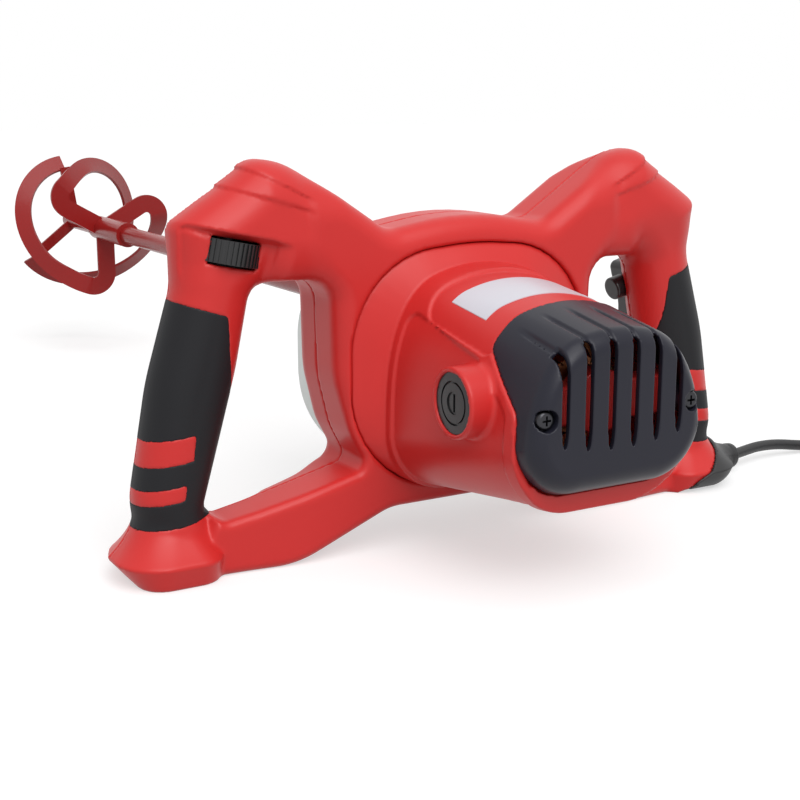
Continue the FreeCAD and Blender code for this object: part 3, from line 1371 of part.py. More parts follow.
def tube(path, radius):
    """Round tube along a wire, its first ring square to the wire's start."""
    first = path.OrderedEdges[0]
    begin = first.FirstParameter
    ring = Part.Wire(Part.makeCircle(radius, first.valueAt(begin), first.tangentAt(begin)))
    return path.makePipeShell([ring], True, False)


def tube_ratio(solid, path, radius):
    return round(solid.Volume / (math.pi * radius ** 2 * path.Length), 4)


def coil_point(turns):
    """Centre line of the coil: in on the floor, out again on top, then up to the plug."""
    reach = COIL_TURNS
    spread = turns if turns <= reach + 0.25 else 2 * reach + 0.5 - turns
    radius = COIL_START_R - COIL_PITCH * spread
    climb = min(max((turns - reach) / 0.5, 0.0), 1.0)
    rise = min(max((turns - 2 * reach) / 0.5, 0.0), 1.0)
    ease = climb * climb * (3 - 2 * climb)
    lift = rise * rise * (3 - 2 * rise)
    z = CORD_R + COIL_LAYER * ease + (COIL_EXIT_Z - CORD_R - COIL_LAYER) * lift
    angle = math.pi / 2 - 2 * math.pi * turns
    return V(COIL_X + radius * math.cos(angle), COIL_Y + radius * math.sin(angle), z)


def coil_heading(turns):
    step = 1e-4
    return (coil_point(turns + step) - coil_point(turns - step)).normalize()


def tangent_arc(a, heading, b):
    """Arc from a, leaving along heading, to b."""
    chord = b - a
    u = V(chord).normalize()
    bulge = heading - u * heading.dot(u)
    if bulge.Length < 1e-6:
        return Part.LineSegment(a, b).toShape()
    rise = chord.Length / 2 * math.tan(heading.getAngle(u) / 2)
    return Part.Arc(a, (a + b) * 0.5 + bulge.normalize() * rise, b).toShape()


def biarc(a, ta, b, tb):
    """Two tangent arcs between two points with given headings."""
    v = b - a
    t = ta + tb
    k = 2 * (1 - ta.dot(tb))
    vt = v.dot(t)
    d = (-vt + math.sqrt(vt * vt + k * v.dot(v))) / k
    middle = (a + b + (ta - tb) * d) * 0.5
    back = tangent_arc(b, tb * -1, middle)
    points = (middle, back.valueAt((back.FirstParameter + back.LastParameter) / 2), b)
    return [tangent_arc(a, ta, middle), Part.Arc(*points).toShape()]


def coil_end():
    return 2 * COIL_TURNS + 0.5


def cord_coil():
    """Put-away cord as one unbroken tube, straight for one diameter at both ends."""
    last = coil_end()
    steps = int(last * 4)
    marks = [i / 4 for i in range(steps + 1)]
    edges = []
    for a, b in zip(marks, marks[1:]):
        ta = V(1, 0, 0) if a == 0 else coil_heading(a)
        tb = V(-1, 0, 0) if b == last else coil_heading(b)
        edges += biarc(coil_point(a), ta, coil_point(b), tb)
    end = coil_point(last)
    edges.append(Part.LineSegment(end, end - V(2 * CORD_R, 0, 0)).toShape())
    path = Part.Wire(edges)
    solid = tube(path, CORD_R)
    print("coil length", round(path.Length), "least gap", round(self_gap(last), 2),
          "volume ratio", tube_ratio(solid, path, CORD_R))
    return solid


def self_gap(last):
    """Least clear distance between turns, measured on points of the centre line."""
    per_turn = 60
    points = [coil_point(i / per_turn) for i in range(int(last * per_turn) + 1)]
    least = 1e9
    for i, p in enumerate(points):
        for q in points[i + per_turn // 2:]:
            least = min(least, p.distanceToPoint(q))
    return least - 2 * CORD_R


def coil_tie():
    """Strap round all turns of the coil, on the side towards the drill."""
    inside = COIL_START_R - COIL_PITCH * (COIL_TURNS - 0.25) - CORD_R
    inner = math.sqrt(inside ** 2 - (TIE_W / 2) ** 2) - TIE_GAP
    outer = COIL_START_R - COIL_PITCH * 0.75 + CORD_R + TIE_GAP
    top = 2 * CORD_R + COIL_LAYER + TIE_GAP
    y0, y1 = COIL_Y - TIE_W / 2, COIL_Y + TIE_W / 2
    strap = box(COIL_X - outer - TIE_T, COIL_X - inner + TIE_T, y0, y1, 0, top + TIE_T)
    return strap.cut(box(COIL_X - outer, COIL_X - inner, y0 - 1, y1 + 1, -1, top))


def plug_start():
    return coil_point(coil_end()) - V(2 * CORD_R, 0, 0)


def plug_body():
    """Moulded two-pin plug lying beside the coil, with a tapered sleeve on the cord."""
    start = plug_start()
    axis = V(-1, 0, 0)
    sleeve = Part.makeCone(CORD_R + 2, CORD_R + 5, PLUG_SLEEVE_L, start, axis)
    body_x = start.x - PLUG_SLEEVE_L
    neck = Part.makeCone(CORD_R + 6, PLUG_R, PLUG_L * 0.5, V(body_x, start.y, start.z), axis)
    face_x = body_x - PLUG_L
    head = Part.makeCylinder(PLUG_R, PLUG_L * 0.5, V(body_x - PLUG_L * 0.5, start.y, start.z), axis)
    rim = [e for e in head.Edges if e.BoundBox.XMax < face_x + 1e-4]
    head = head.makeFillet(2.0, rim)
    return fuse([sleeve, neck, head])


def plug_pins():
    start = plug_start()
    face_x = start.x - PLUG_SLEEVE_L - PLUG_L
    pins = []
    for side in (1, -1):
        pin = rod_x(PIN_R, face_x, face_x - PIN_L, start.y + side * PIN_PITCH / 2, start.z)
        pins.append(pin.makeFillet(1.0, [e for e in pin.Edges if e.BoundBox.XMax < face_x - PIN_L + 1e-4]))
    return pins


def cord_clamp():
    """Bar that presses the cord against the rear shell, inside the right foot."""
    low, high = CLAMP_AT.z - CORD_R - 4.5, CLAMP_AT.z + CORD_R + 4.5
    bar = box(CLAMP_X - CLAMP_W / 2, CLAMP_X + CLAMP_W / 2, CLAMP_Y, CLAMP_Y + CLAMP_T, low, high)
    for x, z in clamp_screw_places():
        bar = bar.cut(rod_y(CLAMP_SCREW_R + 0.1, -FRAME_DEPTH, FRAME_DEPTH, x, z))
    return bar


def cord_clamp_screws():
    screws = []
    for x, z in clamp_screw_places():
        head = rod_y(CLAMP_SCREW_R + 0.5, CLAMP_Y + CLAMP_T, CLAMP_Y + CLAMP_T + 1.6, x, z)
        screws.append(fuse([head, rod_y(CLAMP_SCREW_R, CLAMP_Y - 9, CLAMP_Y + CLAMP_T, x, z)]))
    return screws


def suppressor():
    """Noise suppression capacitor in the left lower arm."""
    x, z = -(ARM_FOOT_X + 4), ARM_H * 0.5
    return box(x - 9, x + 9, -HALF_DEPTH + SHELL_WALL, -HALF_DEPTH + SHELL_WALL + 12, z - 6, z + 6)


def save(name, shape):
    """Writes one piece, moved so that the origin lies under the middle of the length."""
    solids = [s for one in (shape if isinstance(shape, list) else [shape]) for s in one.Solids]
    piece = solids[0].copy() if len(solids) == 1 else Part.makeCompound(solids)
    piece.translate(V(0, -ORIGIN_Y, 0))
    piece.exportStep("parts/" + name + ".step")
    sound = all(s.isValid() and s.isClosed() for s in solids)
    print(name, "solids", len(solids), "volume", round(piece.Volume / 1000, 2), "cm3", "valid", sound)


os.makedirs("parts", exist_ok=True)
path, radii = cord_path(cord_route())
cord = tube(path, CORD_R)
print("cord radii", radii, "length", round(path.Length), "volume ratio", tube_ratio(cord, path, CORD_R))
cord_way = tube(path, CORD_R + FIT_GAP)
body = frame_body(0)
cavity = frame_cavity()
skin = body.cut(frame_body(RUBBER_T))
rubbers = [skin.common(rubber_zone(side)) for side in (-1, 1)]
save("handle_shell_rear", handle_shell(True, body, cavity, rubbers, cord_way))
save("handle_shell_front", handle_shell(False, body, cavity, rubbers, cord_way))
save("left_grip_rubber", rubbers[0])
save("right_grip_rubber", rubbers[1])
save("handle_screws", handle_screws())
save("motor_housing", motor_housing())
save("rear_cap", rear_cap())
save("rear_cap_screws", rear_cap_screws())
save("label_plate", label())
save("stator_core", stator_core())
save("field_coils", field_coils())
save("brush_holders", brush_holders())
save("carbon_brushes", carbon_brushes())
save("brush_springs", brush_springs())
save("brush_caps", brush_caps())
rear_end = REAR_BEARING_Y + REAR_BEARING_W
save("rear_motor_bearing", bearing(REAR_BEARING_R, REAR_BEARING_BORE, REAR_BEARING_Y, rear_end, MOTOR_Z))
save("front_motor_bearing", bearing(FRONT_BEARING_R, SHAFT_R, FRONT_BEARING_Y, PLATE_T - 1.5, MOTOR_Z))
save("armature_shaft", armature_shaft())
save("armature_core", armature_core())
save("armature_winding", armature_winding())
save("commutator", commutator())
save("cooling_fan", cooling_fan())
save("motor_pinion", motor_pinion())
save("gear_plate", gear_plate())
save("gear_case", gear_case())
save("gear_case_screws", gear_case_screws())
save("countershaft_bushes", countershaft_bushes())
save("countershaft", countershaft())
save("first_gear", first_gear())
save("spindle", spindle())
save("output_gear", output_gear())
save("output_gear_key", key_box())
save("gear_circlip", gear_circlip())
save("spindle_bearings", spindle_bearings())
save("spindle_seal", spindle_seal())
save("paddle_rod", paddle_rod())
save("paddle_nut", paddle_nut())
save("paddle_hub", paddle_hub())
blades = paddle_blades()
save("paddle_blades", blades)
save("paddle_arms", paddle_arms(blades))
save("trigger", trigger())
save("trigger_switch", trigger_switch())
save("lock_button", lock_button())
save("speed_dial", speed_dial())
save("speed_module", speed_module())
save("suppressor", suppressor())
save("cord_clamp", cord_clamp())
save("cord_clamp_screws", cord_clamp_screws())
save("power_cord", cord)
save("cable_boot", cable_boot(cord, body))
save("cord_coil", cord_coil())
save("coil_tie", coil_tie())
save("plug_body", plug_body())
save("plug_pins", plug_pins())
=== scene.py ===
"""Looks of the hand-held mixing drill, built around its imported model. Metres throughout.

X runs across the handles, +Y along the spindle to the paddle, +Z up from the floor.
"""
import itertools
import json
import math

import bmesh
import bpy
import numpy as np
from mathutils import Matrix, Vector

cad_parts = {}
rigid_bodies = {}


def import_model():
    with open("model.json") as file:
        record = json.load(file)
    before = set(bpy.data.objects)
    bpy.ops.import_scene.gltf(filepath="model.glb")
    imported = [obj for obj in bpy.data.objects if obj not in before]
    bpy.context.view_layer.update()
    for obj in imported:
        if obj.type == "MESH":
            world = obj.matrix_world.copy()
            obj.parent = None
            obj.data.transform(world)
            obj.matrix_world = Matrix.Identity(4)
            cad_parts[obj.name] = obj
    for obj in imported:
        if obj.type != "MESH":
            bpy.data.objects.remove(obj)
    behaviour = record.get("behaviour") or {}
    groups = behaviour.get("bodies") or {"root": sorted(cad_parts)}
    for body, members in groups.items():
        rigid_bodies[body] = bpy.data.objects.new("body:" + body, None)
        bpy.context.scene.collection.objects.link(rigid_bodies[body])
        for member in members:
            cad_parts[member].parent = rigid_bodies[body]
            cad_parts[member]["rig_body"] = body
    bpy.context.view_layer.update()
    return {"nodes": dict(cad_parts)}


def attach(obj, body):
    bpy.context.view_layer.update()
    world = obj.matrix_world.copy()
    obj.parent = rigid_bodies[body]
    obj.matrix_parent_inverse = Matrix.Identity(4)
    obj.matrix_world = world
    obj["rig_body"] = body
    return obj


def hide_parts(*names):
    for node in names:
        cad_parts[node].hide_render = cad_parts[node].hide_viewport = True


bpy.ops.object.select_all(action="SELECT")
bpy.ops.object.delete()
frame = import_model()
scene = bpy.context.scene
scene.view_settings.view_transform = "Standard"

# Camera: behind and to the left of the drill, a little above the motor, with a fairly
# long lens, as in the photograph.
FRAME_WIDTH_PX = 800
FOCAL_PX = 1383.4
EYE = Vector((-0.38173, -0.86098, 0.23163))
LOOK = Vector((0.4902, 0.8423, -0.2239))
camera_data = bpy.data.cameras.new("camera")
camera_data.sensor_width = 36.0
camera_data.lens = FOCAL_PX / FRAME_WIDTH_PX * camera_data.sensor_width
camera_data.clip_start = 0.02
camera = bpy.data.objects.new("camera", camera_data)
camera.location = EYE
camera.rotation_euler = LOOK.to_track_quat("-Z", "Y").to_euler()
scene.collection.objects.link(camera)
scene.camera = camera

# Studio: a seamless pale floor under a white world, a broad soft key light from above
# on the camera's side, and one soft box over the camera that draws the highlights.
FLOOR_HALF = 6.0
FLOOR_COLOUR = (0.50, 0.50, 0.50, 1.0)
FLOOR_GLOW = 0.57
WORLD_LIGHT = 0.5
KEY_LEVEL = 1.62
KEY_SPREAD = 55.0
KEY_WAY = Vector((0.10, 0.60, -1.0))
BOX_PLACE = Vector((-0.3, -1.6, 1.2))
BOX_AIM = Vector((0.0, -0.10, 0.10))
BOX_SIDE = 0.9
BOX_POWER = 7.0


def shader_nodes(name):
    """New material with an empty node tree but for its output; returns material, tree and output."""
    material = bpy.data.materials.new(name)
    material.use_nodes = True
    tree = material.node_tree
    tree.nodes.clear()
    return material, tree, tree.nodes.new("ShaderNodeOutputMaterial")


def math_node(tree, operation, first, second):
    """Adds a math node; each operand is a socket or a plain number."""
    node = tree.nodes.new("ShaderNodeMath")
    node.operation = operation
    for socket, operand in zip(node.inputs, (first, second)):
        if isinstance(operand, float):
            socket.default_value = operand
        else:
            tree.links.new(operand, socket)
    return node.outputs[0]


def seen_directly(tree):
    """Mask of the rays that show a background: camera, mirror and glass rays."""
    path = tree.nodes.new("ShaderNodeLightPath")
    mask = math_node(tree, "MAXIMUM", path.outputs["Is Camera Ray"], path.outputs["Is Glossy Ray"])
    return math_node(tree, "MAXIMUM", mask, path.outputs["Is Transmission Ray"])


floor_mesh = bpy.data.meshes.new("floor")
corners = [
    (-FLOOR_HALF, -FLOOR_HALF),
    (FLOOR_HALF, -FLOOR_HALF),
    (FLOOR_HALF, FLOOR_HALF),
    (-FLOOR_HALF, FLOOR_HALF),
]
floor_mesh.from_pydata([(x, y, 0.0) for x, y in corners], [], [(0, 1, 2, 3)])
floor = bpy.data.objects.new("floor", floor_mesh)
scene.collection.objects.link(floor)
floor_material, tree, output = shader_nodes("floor_paper")
paper = tree.nodes.new("ShaderNodeBsdfDiffuse")
paper.inputs["Color"].default_value = FLOOR_COLOUR
glow = tree.nodes.new("ShaderNodeEmission")
glow_level = math_node(tree, "MULTIPLY", seen_directly(tree), FLOOR_GLOW)
tree.links.new(glow_level, glow.inputs["Strength"])
lit_paper = tree.nodes.new("ShaderNodeAddShader")
tree.links.new(paper.outputs[0], lit_paper.inputs[0])
tree.links.new(glow.outputs[0], lit_paper.inputs[1])
tree.links.new(lit_paper.outputs[0], output.inputs["Surface"])
floor_mesh.materials.append(floor_material)

world = bpy.data.worlds.new("studio")
world.use_nodes = True
scene.world = world
tree = world.node_tree
tree.nodes.clear()
sky_output = tree.nodes.new("ShaderNodeOutputWorld")
soft_sky = tree.nodes.new("ShaderNodeBackground")
soft_sky.inputs["Strength"].default_value = WORLD_LIGHT
white_sky = tree.nodes.new("ShaderNodeBackground")
for sky in (soft_sky, white_sky):
    sky.inputs["Color"].default_value = (1.0, 1.0, 1.0, 1.0)
sky_choice = tree.nodes.new("ShaderNodeMixShader")
tree.links.new(seen_directly(tree), sky_choice.inputs["Fac"])
tree.links.new(soft_sky.outputs[0], sky_choice.inputs[1])
tree.links.new(white_sky.outputs[0], sky_choice.inputs[2])
tree.links.new(sky_choice.outputs[0], sky_output.inputs["Surface"])

box_data = bpy.data.lights.new("camera_box", "AREA")
box_data.shape = "RECTANGLE"
box_data.size = BOX_SIDE
box_data.size_y = BOX_SIDE
box_data.energy = BOX_POWER
box = bpy.data.objects.new("camera_box", box_data)
box.location = BOX_PLACE
box.rotation_euler = (BOX_AIM - BOX_PLACE).to_track_quat("-Z", "Y").to_euler()
scene.collection.objects.link(box)

key_data = bpy.data.lights.new("key", "SUN")
key_data.energy = KEY_LEVEL
key_data.angle = math.radians(KEY_SPREAD)
key = bpy.data.objects.new("key", key_data)
key.rotation_euler = KEY_WAY.to_track_quat("-Z", "Y").to_euler()
scene.collection.objects.link(key)

# Handle frame: two red half shells that meet at the mid-plane, screwed from the front. Each is a
# moulded form with soft edges: a rounded slab round the ring and shoulders, thinner round bars for
# the grips, and flared feet. They are distance fields, skinned with quads, with Y from the mid-plane.
SHIFT_Y = -0.2545
MOTOR_Z = 0.092
FRAME_HALF = 0.026
FRAME_EDGE_R = 0.011
ARM_X = 0.058
ARM_TOP_Z = 0.050
ARM_FADE = 0.020
ARM_ROUNDING = 0.72
ARM_EDGE_R = 0.0045
ARM_EDGE_Z = 0.045
ARM_EDGE_RISE = 0.060
ARM_TAPER = 0.0045
ARM_TAPER_RUN = 0.055
ARM_TAPER_Z = 0.075
ARM_TAPER_DROP = 0.040
WING_X = 0.085
WING_FADE = 0.030
SHOULDER_X = 0.070
SHOULDER_Z = 0.135
SHOULDER_FADE = 0.025
SHOULDER_EDGE_R = 0.021
SHOULDER_DRAFT = 1.1
SHELL_WALL = 0.006
PARTING_GAP = 0.0001
GRIP_HALF = 0.021
GRIP_EDGE_R = 0.018
GRIP_W = 0.038
GRIP_TOP = (0.115, 0.1395)
GRIP_FOOT = (0.145, 0.025)
GRIP_TILT = math.atan2(GRIP_FOOT[0] - GRIP_TOP[0], GRIP_TOP[1] - GRIP_FOOT[1])
FRAME_EDGE = [
    (0.0460, 0.1610, 0.014),
    (0.0730, 0.1790, 0.030),
    (0.0980, 0.1955, 0.036),
    (0.1140, 0.1970, 0.016),
    (0.1545, 0.1680, 0.007),
    (0.1533, 0.1385, 0.030),
    (0.1669, 0.0943, 0.150),
    (0.1773, 0.0390, 0.024),
    (0.1730, 0.0200, 0.014),
    (0.1660, 0.0000, 0.014),
    (0.1010, 0.0000, 0.055),
    (0.0480, 0.0215, 0.030),
]
CROWN_CORNER = (0.0, 0.169, 0.16)
HOLE_EDGE = [
    (0.0780, 0.1395, 0.013),
    (0.1150, 0.1395, 0.012),
    (0.1238, 0.0983, 0.150),
    (0.1450, 0.0250, 0.007),
    (0.1190, 0.0300, 0.045),
    (0.0605, 0.0440, 0.006),
    (0.0705, 0.0630, 0.035),
    (0.0770, 0.0900, 0.060),
]
OPEN_EDGE = [
    (0.0700, 0.1481, 0.050),
    (0.0700, 0.0305, 0.052),
]
OPEN_PEAK = (0.0, 0.1541, 0.16)
BROW = (0.1060, 0.1595, 0.24)
BROW_STEP = 0.0035
BROW_SWEEP = 0.036
BROW_LEAD = 0.006
GRIP_BLEND = 0.012
GRIP_LOW_Z = 0.026
GRIP_LOW_FADE = 0.006
RING_FRONT_R = 0.013
FRONT_EDGE_R = 0.023
FRONT_EDGE_ROOM = 0.001
FRONT_DRAFT = 0.35
FOOT_RIM_Z = 0.012
FOOT_TOP_Z = 0.036
FOOT_INNER = 0.139
FOOT_INNER_LEAN = 0.006
FOOT_INNER_R = 0.013
FOOT_OUTER = (0.179, 0.010, 0.014)
FOOT_OUTER_R = (0.012, 0.012, 0.009)
FOOT_DEPTH = (0.0275, 0.0045, 0.0145)
FOOT_EDGE_R = 0.0012
FOOT_BLEND = 0.0025
RIDGES = ((0.0924, 0.1735, 0.30), (0.0958, 0.1812, 0.50))
RIDGE_STEP = 0.0011
RIDGE_EDGE = 0.0014
RIDGE_FALL = 0.028
RIDGE_X = 0.086
RIDGE_FADE = 0.008


def unit(vector):
    return vector / np.linalg.norm(vector)


def rounded_line(corners, arc_points=7):
    """Closed line through (x, z, radius) corners, each turned into an arc."""
    line = []
    for i, (x, z, radius) in enumerate(corners):
        corner = np.array((x, z))
        u = unit(np.array(corners[i - 1][:2]) - corner)
        w = unit(np.array(corners[(i + 1) % len(corners)][:2]) - corner)
        half = 0.5 * math.acos(u.dot(w))
        centre = corner + unit(u + w) * radius / math.sin(half)
        start = corner + u * radius / math.tan(half) - centre
        end = corner + w * radius / math.tan(half) - centre
        for share in np.linspace(0.0, 1.0, arc_points):
            line.append(centre + unit(start + (end - start) * share) * radius)
    return line


def both_sides(right):
    return right + [(-x, z, radius) for x, z, radius in reversed(right)]


def outline_distance(line, x, z):
    """Signed distance in a plane to a closed line; negative inside."""
    nearest = np.full(np.broadcast(x, z).shape, 1.0)
    inside = np.zeros(nearest.shape, bool)
    for (ax, az), (bx, bz) in zip(line, line[1:] + line[:1]):
        ex, ez = bx - ax, bz - az
        wx, wz = x - ax, z - az
        along = np.clip((wx * ex + wz * ez) / (ex * ex + ez * ez), 0.0, 1.0)
        nearest = np.minimum(nearest, (wx - along * ex) ** 2 + (wz - along * ez) ** 2)
        if ez:
            inside ^= ((az > z) != (bz > z)) & (wx < wz * ex / ez)
    return np.where(inside, -1.0, 1.0) * np.sqrt(nearest)


def ease(share):
    share = np.clip(share, 0.0, 1.0)
    return share * share * (3.0 - 2.0 * share)


def both(first, second, radius):
    """Common part of two fields, with a round edge where they meet."""
    a = first + radius
    b = second + radius
    return np.minimum(np.maximum(a, b), 0.0) + np.hypot(np.maximum(a, 0.0), np.maximum(b, 0.0)) - radius


def joined(first, second, reach):
    """Union of two fields, with a soft hollow where they meet."""
    near = np.maximum(reach - np.abs(first - second), 0.0) / reach
    return np.minimum(first, second) - near * near * reach / 4.0


FRAME_LINE = rounded_line(both_sides(FRAME_EDGE) + [CROWN_CORNER])
HOLE_LINE = rounded_line(HOLE_EDGE)
OPEN_LINE = rounded_line(both_sides(OPEN_EDGE) + [OPEN_PEAK], arc_points=12)


def grip_x(z):
    """Inner edge of the right grip at a height."""
    return GRIP_TOP[0] + (GRIP_FOOT[0] - GRIP_TOP[0]) * (GRIP_TOP[1] - z) / (GRIP_TOP[1] - GRIP_FOOT[1])


def foot_field(side, y, z):
    """Flared foot: widest at its rim, drawn in below, and hollowed up to the grip above.

    Each of its sizes is a value at the floor, a gain up to the rim and a loss above it.
    """
    low = np.clip(z / FOOT_RIM_Z, 0.0, 1.0)
    high = np.clip((z - FOOT_RIM_Z) / (FOOT_TOP_Z - FOOT_RIM_Z), 0.0, 1.0)
    high = 1.0 - (1.0 - high) ** 2
    outer, outer_r, deep = (
        start + gain * low - loss * high for start, gain, loss in (FOOT_OUTER, FOOT_OUTER_R, FOOT_DEPTH)
    )
    outer = outer - FRONT_DRAFT * np.maximum(y, 0.0)
    inner = FOOT_INNER + FOOT_INNER_LEAN * high
    middle = (inner + outer) / 2
    radius = np.where(side > middle, outer_r, FOOT_INNER_R)
    plan = both(np.abs(side - middle) - (outer - inner) / 2, np.abs(y) - deep, radius)
    return both(plan, np.maximum(-z, z - FOOT_TOP_Z), FOOT_EDGE_R)


def frame_field(x, y, z):
    """Outside of the whole frame, as if it were solid and had no opening for the motor."""
    side = np.abs(x)
    under_brow = BROW[1] + BROW[2] * (side - BROW[0]) - z
    step = ease(under_brow / BROW_STEP)
    sweep = ease((under_brow + BROW_LEAD) / BROW_SWEEP)
    brow = np.where(x < 0.0, step, sweep)
    below = np.maximum(ease((z - GRIP_LOW_Z) / GRIP_LOW_FADE), ease((side - FOOT_INNER) / GRIP_LOW_FADE))
    grip = brow * ease((side - grip_x(z)) / GRIP_BLEND + 1.0) * below
    shoulder = ease((side - SHOULDER_X) / SHOULDER_FADE) * ease((z - SHOULDER_Z) / SHOULDER_FADE)
    low_arm = ARM_ROUNDING * ease((ARM_TOP_Z - z) / ARM_FADE) * ease((side - ARM_X) / WING_FADE)
    wing = np.maximum(ease((side - WING_X) / WING_FADE), low_arm)
    radius = ARM_EDGE_R + (FRAME_EDGE_R - ARM_EDGE_R) * ease((z - ARM_EDGE_Z) / ARM_EDGE_RISE)
    radius = radius + (SHOULDER_EDGE_R - radius) * shoulder
    radius = radius + (GRIP_EDGE_R - radius) * grip
    tapered = ease((side - WING_X) / ARM_TAPER_RUN)
    half = FRAME_HALF - ARM_TAPER * tapered * ease((ARM_TAPER_Z - z) / ARM_TAPER_DROP)
    half = half + (GRIP_HALF - half) * grip
    wing_r = np.maximum(radius, np.minimum(FRONT_EDGE_R, half - FRONT_EDGE_ROOM))
    ring_r = np.maximum(radius, RING_FRONT_R)
    front_r = ring_r + (wing_r - ring_r) * wing
    draft = FRONT_DRAFT * wing * np.maximum(y, 0.0)
    deep = np.abs(y) - half
    edge_r = np.where(y > 0.0, front_r, radius)
    drafted = outline_distance(FRAME_LINE, side, z) + draft * (1.0 + SHOULDER_DRAFT * shoulder)
    body = both(drafted, deep, edge_r)
    body = np.maximum(body, both(draft - outline_distance(HOLE_LINE, side, z), deep, edge_r))
    for ridge_x, ridge_z, slope in RIDGES:
        under = ridge_z + slope * (side - ridge_x) - z
        sunk = ease(under / RIDGE_EDGE + 0.5) * ease(1.0 - under / RIDGE_FALL)
        body = body + RIDGE_STEP * (sunk * ease((side - RIDGE_X) / RIDGE_FADE))
    return np.maximum(joined(body, foot_field(side, y, z), FOOT_BLEND), -z)


def skin(name, field, low, high, pitch):
    """Smooth mesh of quads on the surface where a field is zero, within a box."""
    counts = [int((b - a) / pitch) + 2 for a, b in zip(low, high)]
    grid = [a + pitch * np.arange(n) for a, n in zip(low, counts)]
    values = field(grid[0][:, None, None], grid[1][None, :, None], grid[2][None, None, :])
    inside = values < 0.0
    offsets = list(itertools.product((0, 1), repeat=3))
    spans = [[slice(k, n - 1 + k) for k in (0, 1)] for n in counts]
    filled = sum(inside[spans[0][i], spans[1][j], spans[2][k]].astype(np.int8) for i, j, k in offsets)
    mixed = (filled > 0) & (filled < 8)
    cells = np.argwhere(mixed)
    number = np.full(mixed.shape, -1)
    number[mixed] = np.arange(len(cells))
    total = np.zeros((len(cells), 3))
    cuts = np.zeros(len(cells))
    faces = []
    for axis in range(3):
        one, two = (axis + 1) % 3, (axis + 2) % 3
        for a, b in itertools.product((0, 1), repeat=2):
            start = np.zeros(3, int)
            start[one], start[two] = a, b
            end = start.copy()
            end[axis] = 1
            v0 = values[tuple((cells + start).T)]
            v1 = values[tuple((cells + end).T)]
            cut = (v0 < 0.0) != (v1 < 0.0)
            spot = np.tile(start.astype(float), (len(cells), 1))
            spot[:, axis] += np.where(cut, v0 / np.where(cut, v0 - v1, 1.0), 0.0)
            total += spot * cut[:, None]
            cuts += cut
        ahead = np.take(inside, range(1, counts[axis]), axis)
        behind = np.take(inside, range(counts[axis] - 1), axis)
        edges = np.argwhere(ahead != behind)
        free = [(edges[:, k] > 0) & (edges[:, k] < counts[k] - 1) for k in (one, two)]
        edges = edges[free[0] & free[1]]
        ring = []
        for a, b in ((-1, -1), (0, -1), (0, 0), (-1, 0)):
            cell = edges.copy()
            cell[:, one] += a
            cell[:, two] += b
            ring.append(number[tuple(cell.T)])
        quads = np.stack(ring, 1)
        outward = behind[tuple(edges.T)]
        faces.append(np.where(outward[:, None], quads, quads[:, ::-1]))
    points = np.array(low) + pitch * (cells + total / cuts[:, None])
    x, y, z = points.T
    here = field(x, y, z)
    nudge = 0.1 * pitch
    slope = np.stack([field(x + nudge, y, z), field(x, y + nudge, z), field(x, y, z + nudge)], 1)
    slope = (slope - here[:, None]) / nudge
    least_steep = 0.25
    furthest = 0.5 * pitch
    steep = np.maximum((slope ** 2).sum(1), least_steep)
    points -= slope * np.clip(here / steep, -furthest, furthest)[:, None]
    points[:, 1] += SHIFT_Y
    mesh = bpy.data.meshes.new(name)
    mesh.from_pydata(points.tolist(), [], np.concatenate(faces).tolist())
    mesh.polygons.foreach_set("use_smooth", [True] * len(mesh.polygons))
    piece = bpy.data.objects.new(name, mesh)
    scene.collection.objects.link(piece)
    return piece


grain = bpy.data.node_groups.new("moulded_grain", "ShaderNodeTree")
for name, kind, value in (
    ("Colour", "NodeSocketColor", (0.5, 0.5, 0.5, 1.0)),
    ("Colour spread", "NodeSocketFloat", 0.1),
    ("Grain per metre", "NodeSocketFloat", 2000.0),
    ("Roughness", "NodeSocketFloat", 0.5),
    ("Roughness spread", "NodeSocketFloat", 0.1),
):
    grain.interface.new_socket(name, in_out="INPUT", socket_type=kind).default_value = value
for name, kind in (
    ("Colour", "NodeSocketColor"),
    ("Roughness", "NodeSocketFloat"),
    ("Height", "NodeSocketFloat"),
):
    grain.interface.new_socket(name, in_out="OUTPUT", socket_type=kind)
group_in = grain.nodes.new("NodeGroupInput")
group_out = grain.nodes.new("NodeGroupOutput")
place = grain.nodes.new("ShaderNodeTexCoord")
fine = grain.nodes.new("ShaderNodeTexNoise")
fine.inputs["Detail"].default_value = 3.0
broad = grain.nodes.new("ShaderNodeTexNoise")
broad.inputs["Scale"].default_value = 22.0
broad.inputs["Detail"].default_value = 4.0
grain.links.new(place.outputs["Object"], fine.inputs["Vector"])
grain.links.new(place.outputs["Object"], broad.inputs["Vector"])
grain.links.new(group_in.outputs["Grain per metre"], fine.inputs["Scale"])
swing = math_node(grain, "SUBTRACT", broad.outputs["Fac"], 0.5)
swing = math_node(grain, "MULTIPLY", swing, group_in.outputs["Colour spread"])
value = math_node(grain, "ADD", swing, 1.0)
tint = grain.nodes.new("ShaderNodeHueSaturation")
grain.links.new(group_in.outputs["Colour"], tint.inputs["Color"])
grain.links.new(value, tint.inputs["Value"])
grain.links.new(tint.outputs["Color"], group_out.inputs["Colour"])
mixed = math_node(grain, "ADD", broad.outputs["Fac"], fine.outputs["Fac"])
mixed = math_node(grain, "SUBTRACT", mixed, 1.0)
mixed = math_node(grain, "MULTIPLY", mixed, group_in.outputs["Roughness spread"])
mixed = math_node(grain, "ADD", mixed, group_in.outputs["Roughness"])
grain.links.new(mixed, group_out.inputs["Roughness"])
grain.links.new(fine.outputs["Fac"], group_out.inputs["Height"])


